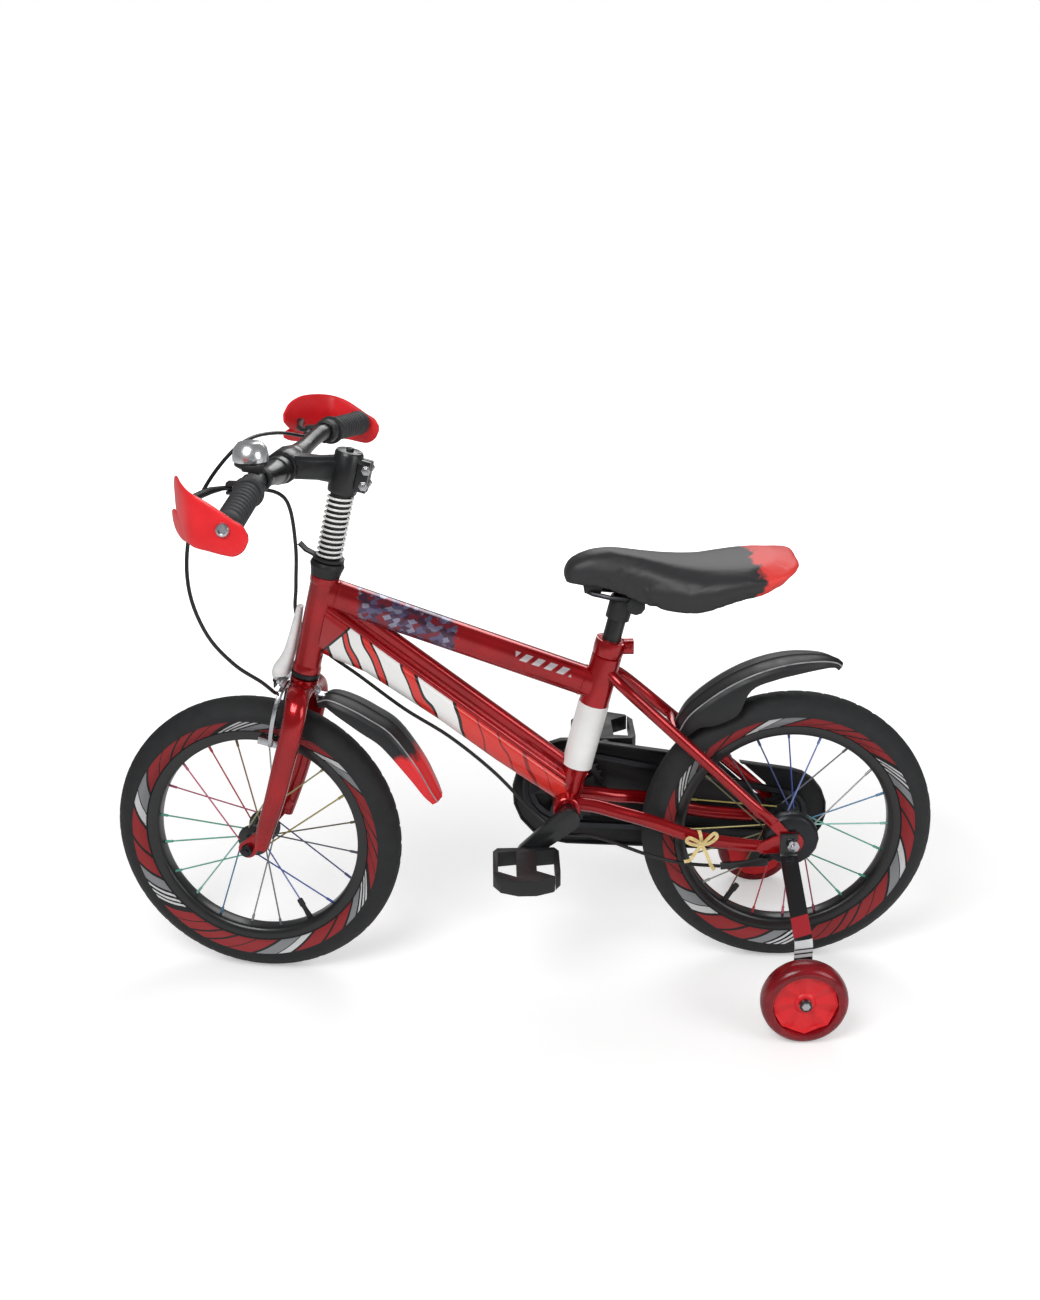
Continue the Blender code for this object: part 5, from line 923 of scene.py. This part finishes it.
def guard(side, sign):
    """The hand guard: a blade of moulded plastic from the bar's end forward and inward, with its bolt."""
    rows = mm((627, 315.2, 717.5, 2.2, 4.5), (633, 315.2, 717, 2.6, 15), (644, 315.2, 717, 3, 21.5),
              (657, 315.2, 722, 3.2, 25.5), (675, 314.2, 729.5, 3.2, 29.2), (695, 308, 735, 3.2, 31.6),
              (713, 286, 740.5, 3.2, 31.2), (727, 259, 745.5, 3, 27.5), (737, 236, 748, 2.6, 19),
              (742, 222, 748, 1.8, 7))
    blade = tube("blade", on_side(rows, sign), UP, 28, 3.2, 5, upright=True)
    rows = mm((690, 310, 718, 2.6, 10), (711, 289, 719, 3, 15), (729, 261, 719, 2.9, 12.5),
              (740, 240, 720.5, 2.5, 8.8), (745.5, 229, 721.5, 1.6, 4))
    lobe = tube("lobe", on_side(rows, sign), UP, 28, 3.0, 5, upright=True)
    blade = joined("hand_guard_%s_finish" % side, blade, lobe)
    keep(blade, BRIGHT, "steering")
    centre = bar_spot(0.306, sign)
    head = turned("guard_bolt_" + side, mm((0, 0), (9.8, 0), (10, 1.2), (8.6, 2), (8.4, 5.8), (7.2, 7.4),
        (5, 7.8), (4.6, 5), (0, 5)), 40)
    stood(softened(head, 0), Vector((centre.x, sign * 0.3147, centre.z)), LEFT * sign)
    keep(head, ZINC, "steering")


def coil():
    """The white coil over the black sleeve of the steerer, one unbroken wire of twelve turns."""
    turns, radius, wire, per_turn = 12, 0.0164, 0.0032, 20
    low = (0.6095 - 0.5) / HEAD_AXIS.z + wire / 2 + 0.0003
    high = (0.6975 - 0.5) / HEAD_AXIS.z - wire / 2 - 0.0003
    points = []
    for k in range(turns * per_turn + 1):
        turn = 2 * math.pi * k / per_turn
        along = low + (high - low) * k / (turns * per_turn)
        points.append(HEAD_DATUM + HEAD_AXIS * along
                      + (HEAD_FORE * math.cos(turn) + LEFT * math.sin(turn)) * radius)
    keep(strand("steerer_spring_finish", points, wire / 2), WHITE, "steering")
    sleeve = on_head("steerer_sleeve", mm((12.8, 610), (14.2, 610), (14.2, 697), (12.8, 697)),
                     40, ring=True)
    keep(softened(sleeve, 0), BLACK, "steering")


def hex_bolt(name, centre, axis, radius=0.0045, height=0.0036):
    """A hexagon bolt head on a washer, its underside at the centre."""
    washer = radius * 1.45
    head = turned(name, [(0, 0), (washer, 0), (washer, 0.0009), (radius, 0.001), (radius, height * 0.8),
                         (radius * 0.86, height), (0, height)], 6)
    return stood(softened(head, 0.0003), Vector(centre), axis)


def stem_bolts():
    """The two clamp bolts across the back of the stem, and the top bolt of its wedge."""
    for sign in (1, -1):
        bolts = [hex_bolt("bolt", (0.5655, sign * 0.0118, 0.7285), LEFT * sign),
                 hex_bolt("bolt", (0.57, sign * 0.0118, 0.708), LEFT * sign)]
        side = "left" if sign > 0 else "right"
        keep(joined("stem_bolts_" + side, *bolts), ZINC, "steering")
    top = on_head("stem_wedge_bolt", mm((0, 749), (5.2, 749), (5.2, 755.2), (4.6, 756), (0, 756)), 6)
    keep(softened(top, 0.0003), OXIDE, "steering")


def crown_fittings():
    """What the brake bolt holds: a white reflector housing in front and a bright strip behind the crown."""
    rows = mm((694, 442.5, 16, 8.5), (695, 444.5, 20.5, 11.2), (693.5, 452, 20.8, 11.5), (687.5, 464, 18.5, 9),
              (681.5, 478, 16, 7.4), (676.5, 495, 13.5, 6.4), (671, 515, 11.2, 5.6), (664.8, 540, 7.5, 4))
    rows = eased(rows, 5)
    housing = skin("front_reflector", [(x, 0, z) for x, z, _, _ in rows],
                   [oval(w, d, 32, 2.8) for _, _, w, d in rows], FORWARD, 50)
    keep(housing, PALE, "steering")
    flat = box(0.006, 0.0009)
    bracket = skin("reflector_bracket", mm((705.2, 0, 423.5), (705, 0, 433), (701.5, 0, 442),
        (698, 0, 450)), flat, FORWARD)
    nut = hex_bolt("nut", BRAKE_BOLT + HEAD_FORE * 0.0195, HEAD_FORE)
    keep(joined("reflector_bracket", softened(bracket, 0.0003), nut), OXIDE, "steering")
    strip = skin("crown_strip", mm((648.4, 0, 434), (647.8, 0, 418), (644, 0, 402)), flat, FORWARD)
    tab = skin("tab", mm((633, 0, 415), (643, 0, 416), (648, 0, 420)),
               box(0.008, 0.001))
    nut = hex_bolt("nut", (0.6474, 0, 0.4215), -HEAD_FORE, 0.005, 0.005)
    strip = joined("crown_strip", softened(strip, 0.0003), softened(tab, 0.0003), nut)
    keep(strip, ZINC, "steering")


fork()
bar()
coil()
stem_bolts()
crown_fittings()
for side, sign in (("left", 1), ("right", -1)):
    grip(side, sign)
    guard(side, sign)


# Mudguards

def channel(width, depth, wall=0.0022):
    """A mudguard's section: a crown with a raised spine and two fine crest beads over its skirts."""
    half = [(0.002, 0.0), (0.0045, -0.0006), (width * 0.35, -0.0008), (width * 0.62, -0.0016),
            (width * 0.8, -0.003), (width * 0.8 + 0.0008, -0.0022), (width * 0.8 + 0.0018, -0.0036),
            (width * 0.95, -0.0062), (width, -0.0092), (width + 0.0008, -depth + 0.001),
            (width + 0.0003, -depth), (width - wall * 0.8, -depth), (width - wall, -depth + 0.001),
            (width - wall, -0.01), (width * 0.9 - wall, -0.0078), (width * 0.6, -0.0022 - wall)]
    return [(0.0, 0.001)] + half + [(0.0, -wall)] + [(-w, d) for w, d in reversed(half)]


def mudguard(name, rows, body, finish):
    """A guard from rows of (x, z, half width, depth), with a painted pale highlight along its crest lines."""
    rows = eased(rows, 5)[::-1]
    outlines = [channel(w, d) for _, _, w, d in rows]
    piece = skin(name + "_finish", [Vector((x, 0, z)) for x, z, _, _ in rows], outlines, angle=50)
    piece.data.materials.append(finish)
    piece.data.materials.append(CREST_HIGHLIGHT)
    count = len(outlines[0])
    # Faces along the crest beads take the painted highlight
    for face in piece.data.polygons[:count * (len(rows) - 1)]:
        if face.index % count in (5, 6, count - 7, count - 6):
            face.material_index = 1
    return keep(piece, finish, body)


mudguard("rear_mudguard", mm((160.8, 357.8, 25, 14), (148, 383, 29, 26), (130, 402, 32, 38),
                             (102, 423.5, 33, 42), (70, 441.5, 33, 20), (35, 454.5, 32, 18), (0, 461, 29, 17),
                             (-35, 461, 22, 13), (-56, 455.5, 13, 10), (-66, 448, 8, 10)), "frame", BLACK)
mudguard("front_mudguard", mm((644, 413, 20, 10.5), (626, 418.5, 26, 14), (600, 411, 30, 20),
                              (569, 395.5, 31, 24), (537, 373.7, 31, 24), (504.1, 328.1, 29, 20),
                              (486, 292, 25, 14), (477.8, 274.4, 18, 10)), "steering", TIPPED)


# Training wheels

def training_wheel(side, sign):
    """A soft rounded tyre on a bright moulded face of eight flat facets that dip to the bolt."""
    tyre = turned("training_wheel_%s_tyre" % side, mm((44, -17), (48.5, -17), (52, -15.8), (55.2, -12.8),
        (57.2, -8.5), (58, -3), (58, 3), (57.2, 8.5), (55.2, 12.8), (52, 15.8), (48.5, 17), (45, 17), (43.2, 16),
        (42.8, 12)), 96, ring=True)
    face = turned("training_wheel_%s_face" % side, mm((5, -17), (44, -17), (44.5, 0), (43, 13.5), (41.5, 13.8),
        (39.5, 11), (15, 7), (12.5, 9.5), (11, 9.8), (5, 9.8)), 16, ring=True)
    for spot in face.data.vertices:
        if spot.co.z > 0.01 and math.hypot(spot.co.x, spot.co.y) > 0.039:
            turn = round(math.atan2(spot.co.y, spot.co.x) / math.radians(22.5))
            spot.co.z -= 0.005 if turn % 2 else 0.0
    centre = Vector((0.005, sign * 0.22, 0.058))
    body = "training_wheel_%s_body" % side
    nut = hex_bolt("training_wheel_nut_" + side, (0.005, sign * 0.2325, 0.058), LEFT * sign, 0.0062, 0.0046)
    keep(nut, ZINC, "frame")
    for piece, finish, slot in ((softened(tyre, 0), PVC, "red_wheel_plastic"),
                                (softened(face, 0.0006, angle=10), BRIGHT, "red_wheel_plastic")):
        stood(piece, centre, LEFT * sign)
        keep(piece, finish, body)
    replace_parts(face, "training_wheel_" + side)


for side, sign in (("left", 1), ("right", -1)):
    training_wheel(side, sign)
    dressed("training_wheel_bracket_" + side, BARRED, "frame", 0.0008)


# Saddle

def inflated(pad, swell):
    """Fills a pad out by a short cloth simulation with air in it. No point moves further than swell."""
    last_frame = 20
    only(pad)
    modified(pad, "REMESH", mode="VOXEL", voxel_size=0.004)
    before = [spot.co.copy() for spot in pad.data.vertices]
    cloth = pad.modifiers.new("cloth", "CLOTH")
    cloth.settings.use_pressure = True
    cloth.settings.uniform_pressure_force = 4
    cloth.settings.effector_weights.gravity = 0
    cloth.point_cache.frame_start, cloth.point_cache.frame_end = 1, last_frame
    for frame_number in range(1, last_frame + 1):
        bpy.context.scene.frame_set(frame_number)
    bpy.ops.object.modifier_apply(modifier=cloth.name)
    bpy.context.scene.frame_set(1)
    for spot, place in zip(pad.data.vertices, before):
        move = spot.co - place
        spot.co = place + move * min(1, swell / max(move.length, swell))
    modified(pad, "SMOOTH", factor=0.5, iterations=1)
    modified(pad, "SUBSURF", levels=1, render_levels=1)
    bpy.ops.object.shade_smooth()
    return pad


def saddle():
    """A padded saddle: a crowned nose, drawn-in sides and a wide tail that ends in a raised thin lip."""
    stations = mm((4, 26, 604, 599, 600), (9, 44, 608.5, 596, 598), (21.5, 62, 608, 586, 589),
                  (36.3, 70, 605.6, 576, 580), (56.4, 74, 603.5, 565.5, 571), (82.7, 75.5, 601, 558.5, 566),
                  (108, 74.5, 599, 550, 562), (133.1, 71, 597.8, 542.5, 560), (158.4, 64, 599.2, 540, 559),
                  (183.6, 54.5, 602.4, 542, 559), (209.1, 44, 606.8, 547.5, 560), (234.6, 36, 611.2, 555, 562.5),
                  (260.3, 30.5, 614.5, 564.5, 567), (279.8, 27.5, 614.2, 569, 571.5),
                  (299.4, 24, 608.5, 571.5, 574), (309, 19.5, 601, 573, 575), (315, 12, 590, 576, 577.5))
    shrink = 0.001
    path, outlines = [], []
    for x, w, top, bottom, base in eased(stations, 4):
        w, top, bottom = w - shrink, top - shrink, bottom + shrink
        h = top - bottom
        half = [(0.22 * w, top - 0.005 * h), (0.42 * w, top - 0.02 * h), (0.62 * w, top - 0.055 * h),
                (0.78 * w, top - 0.12 * h), (0.9 * w, top - 0.21 * h), (0.97 * w, top - 0.32 * h),
                (w, top - 0.46 * h), (0.985 * w, top - 0.62 * h), (0.95 * w, top - 0.78 * h),
                (0.9 * w, bottom), (0.74 * w, bottom), (0.66 * w, base), (0.4 * w, base)]
        path.append(Vector((x, 0, 0)))
        outlines.append([(0.0, top)] + half + [(0.0, base)] + [(-a, b) for a, b in reversed(half)])
    pad = skin("saddle_finish", path, outlines, angle=70)
    inflated(pad, 0.003)
    keep(pad, VINYL, "seat")
    front = plate("socket", mm((260, 572), (264, 554.5), (286, 555.5), (289, 574)), -0.0085, 0.0085,
                  0.0015)
    rear = [plate("socket", mm((61, 570), (64, 554.5), (82, 553.5), (86, 568)),
                  sign * 0.0255 - 0.007, sign * 0.0255 + 0.007, 0.0015) for sign in (1, -1)]
    keep(joined("saddle_rail_sockets", front, *rear), BLACK, "seat")


saddle()


# Brake cables

CABLE_RADIUS = 0.0025


def steered(place):
    """Where the steering at rest takes a place of the bike."""
    return BIKE.inverted() @ STEER @ Vector(place)


def cable(name, route):
    """A brake cable in its jacket, along one smooth line through its route."""
    line = [Vector(place) for place in eased(route, 6)]
    piece = strand(name + "_finish", line, CABLE_RADIUS)
    piece.data.materials.append(JACKET)
    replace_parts(piece, name)
    return piece


def cables():
    """Both brake cables. The rear one leaves the bar under its middle and runs from its steered stretch down
    along the frame;
    the front one swings out to the left and turns with the bar."""
    left_barrel = bar_spot(0.174) + Vector((0.0225, -0.026, 0))
    right_barrel = bar_spot(0.174, -1) + Vector((0.0225, 0.026, 0))
    rear = [steered(place) for place in (
        left_barrel - LEFT * 0.0012, left_barrel - LEFT * 0.012, (0.696, 0.1, 0.724),
        (0.671, 0.056, 0.707), (0.663, 0.031, 0.68), (0.662, 0.017, 0.623))]
    rear += [Vector(place) for place in (
        (0.668, 0.001, 0.57), (0.671, -0.017, 0.52), (0.644, -0.032, 0.47),
        (0.59, -0.015, 0.433), (0.53, 0.0, 0.39), (0.47, 0.0, 0.348), (0.41, 0.005, 0.296),
        (0.36, 0.02, 0.246), (0.32, 0.042, 0.22), (0.27, 0.046, 0.214), (0.2, 0.049, 0.187),
        (0.15, 0.044, 0.17), (0.0968, 0.0402, 0.1622))]
    rear = [BIKE @ place for place in rear]
    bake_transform(cable("rear_brake_cable", rear))
    brake_pivot = HEAD_DATUM - HEAD_AXIS * 0.0755 + HEAD_FORE * 0.019
    front_end = brake_pivot + HEAD_FORE * 0.0062 + LEFT * 0.0395 - HEAD_AXIS * 0.0037
    front = [right_barrel + LEFT * 0.0014, right_barrel + LEFT * 0.012, (0.708, -0.08, 0.756),
             (0.722, 0.0, 0.764), (0.735, 0.065, 0.75), (0.75, 0.12, 0.715),
             (0.76, 0.15, 0.66), (0.76, 0.155, 0.6), (0.746, 0.14, 0.54),
             (0.725, 0.105, 0.49), (0.702, 0.07, 0.455), front_end + LEFT * 0.012 + UP * 0.006, front_end]
    front = [STEER @ Vector(place) for place in front]
    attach(cable("front_brake_cable", front), "steering")


cables()


# Solids whose own shape is right, by finish, slot and body, with finer edges

for finish, slot, bodies in (
        (OXIDE, "dark_metal", {"frame": "headset_lower_cup chain band_brake_housing", "crank": "chainring",
            "freewheel": "freewheel_sprocket"}),
        (BLACK, "black_plastic", {"frame": "headset_upper_cup chain_case",
            "steering": "cable_guide lever_perch_left lever_perch_right bell_base",
            "lever_left": "brake_lever_left", "lever_right": "brake_lever_right",
            "pedal_left_body": "pedal_left", "pedal_right_body": "pedal_right",
            "bell_thumb_lever": "bell_lever"}),
        (GLOSS, "black_enamel", {"steering": "stem", "crank": "crankset", "seat": "seat_post"}),
        (CHROME, "chrome", {"steering": "bell_dome"}),
        (ZINC, "plated_steel", {"brake_arm_left": "front_brake_arm_left",
            "brake_arm_right": "front_brake_arm_right", "frame": "rear_axle"}),
        (OXIDE, "plated_steel", {"steering": "front_axle", "seat": "saddle_rails"}),
        (GLOSS, "dark_metal", {"band_arm": "band_brake_arm"}),
        (BLACK, "dark_metal", {"seat": "saddle_clamp"})):
    for body, names in bodies.items():
        for node in names.split():
            dressed(node, finish, body)


# Floor and light

def floor_finish():
    """Pale studio floor: soft shadows stay on it near the bike, and further out it runs into plain white."""
    made, tree, shader, place = finish_of("studio_floor", "E6E6E6", 0.85)
    mottle(tree, shader, place, 0.6, "E4E4E4", "E8E8E8")
    reach = add(tree, "VectorMath", {"operation": "LENGTH"}, _0=place).outputs["Value"]
    lift = add(tree, "MapRange", Value=reach, From_Min=0.8, From_Max=2.0, To_Min=0.36, To_Max=1.1)
    seen = add(tree, "LightPath").outputs["Is Camera Ray"]
    shader.inputs["Emission Color"].default_value = (1, 1, 1, 1)
    glow = add(tree, "Math", {"operation": "MULTIPLY"}, _0=seen, _1=lift.outputs[0])
    tree.links.new(glow.outputs[0], shader.inputs["Emission Strength"])
    return made


def studio():
    """Floor, backdrop and three soft lamps. Rays that mirror see a darker backdrop, so that gloss stays deep."""
    bpy.ops.object.select_all(action="DESELECT")
    bpy.ops.mesh.primitive_plane_add(size=60)
    floor = bpy.context.object
    floor.name = "studio_floor"
    floor.data.materials.append(floor_finish())
    world = bpy.data.worlds.new("studio")
    world.use_nodes = True
    tree = world.node_tree
    backdrop = tree.nodes["Background"]
    rays = add(tree, "LightPath").outputs
    strength = add(tree, "Math", {"operation": "ADD", "use_clamp": True}, _1=0.4,
                   _0=sum_of(tree, (rays["Is Camera Ray"], 0.6), (rays["Is Glossy Ray"], -0.22)))
    tree.links.new(strength.outputs[0], backdrop.inputs["Strength"])
    backdrop.inputs["Color"].default_value = (1, 1, 1, 1)
    bpy.context.scene.world = world
    for name, place, aim, size, power in (
            ("key", (0.9, 1.7, 2.3), (0, 0, 0.35), 1.3, 40), ("fill", (-1.8, 1.4, 1.2), (0, 0, 0.4), 1.2, 14),
            ("back", (-0.4, -2.0, 1.9), (0, 0, 0.5), 1.4, 18)):
        lamp = bpy.data.lights.new(name, "AREA")
        lamp.energy, lamp.size = power, size
        holder = placed(name, lamp)
        holder.location = place
        holder.rotation_euler = (Vector(aim) - Vector(place)).to_track_quat("-Z", "Y").to_euler()


studio()
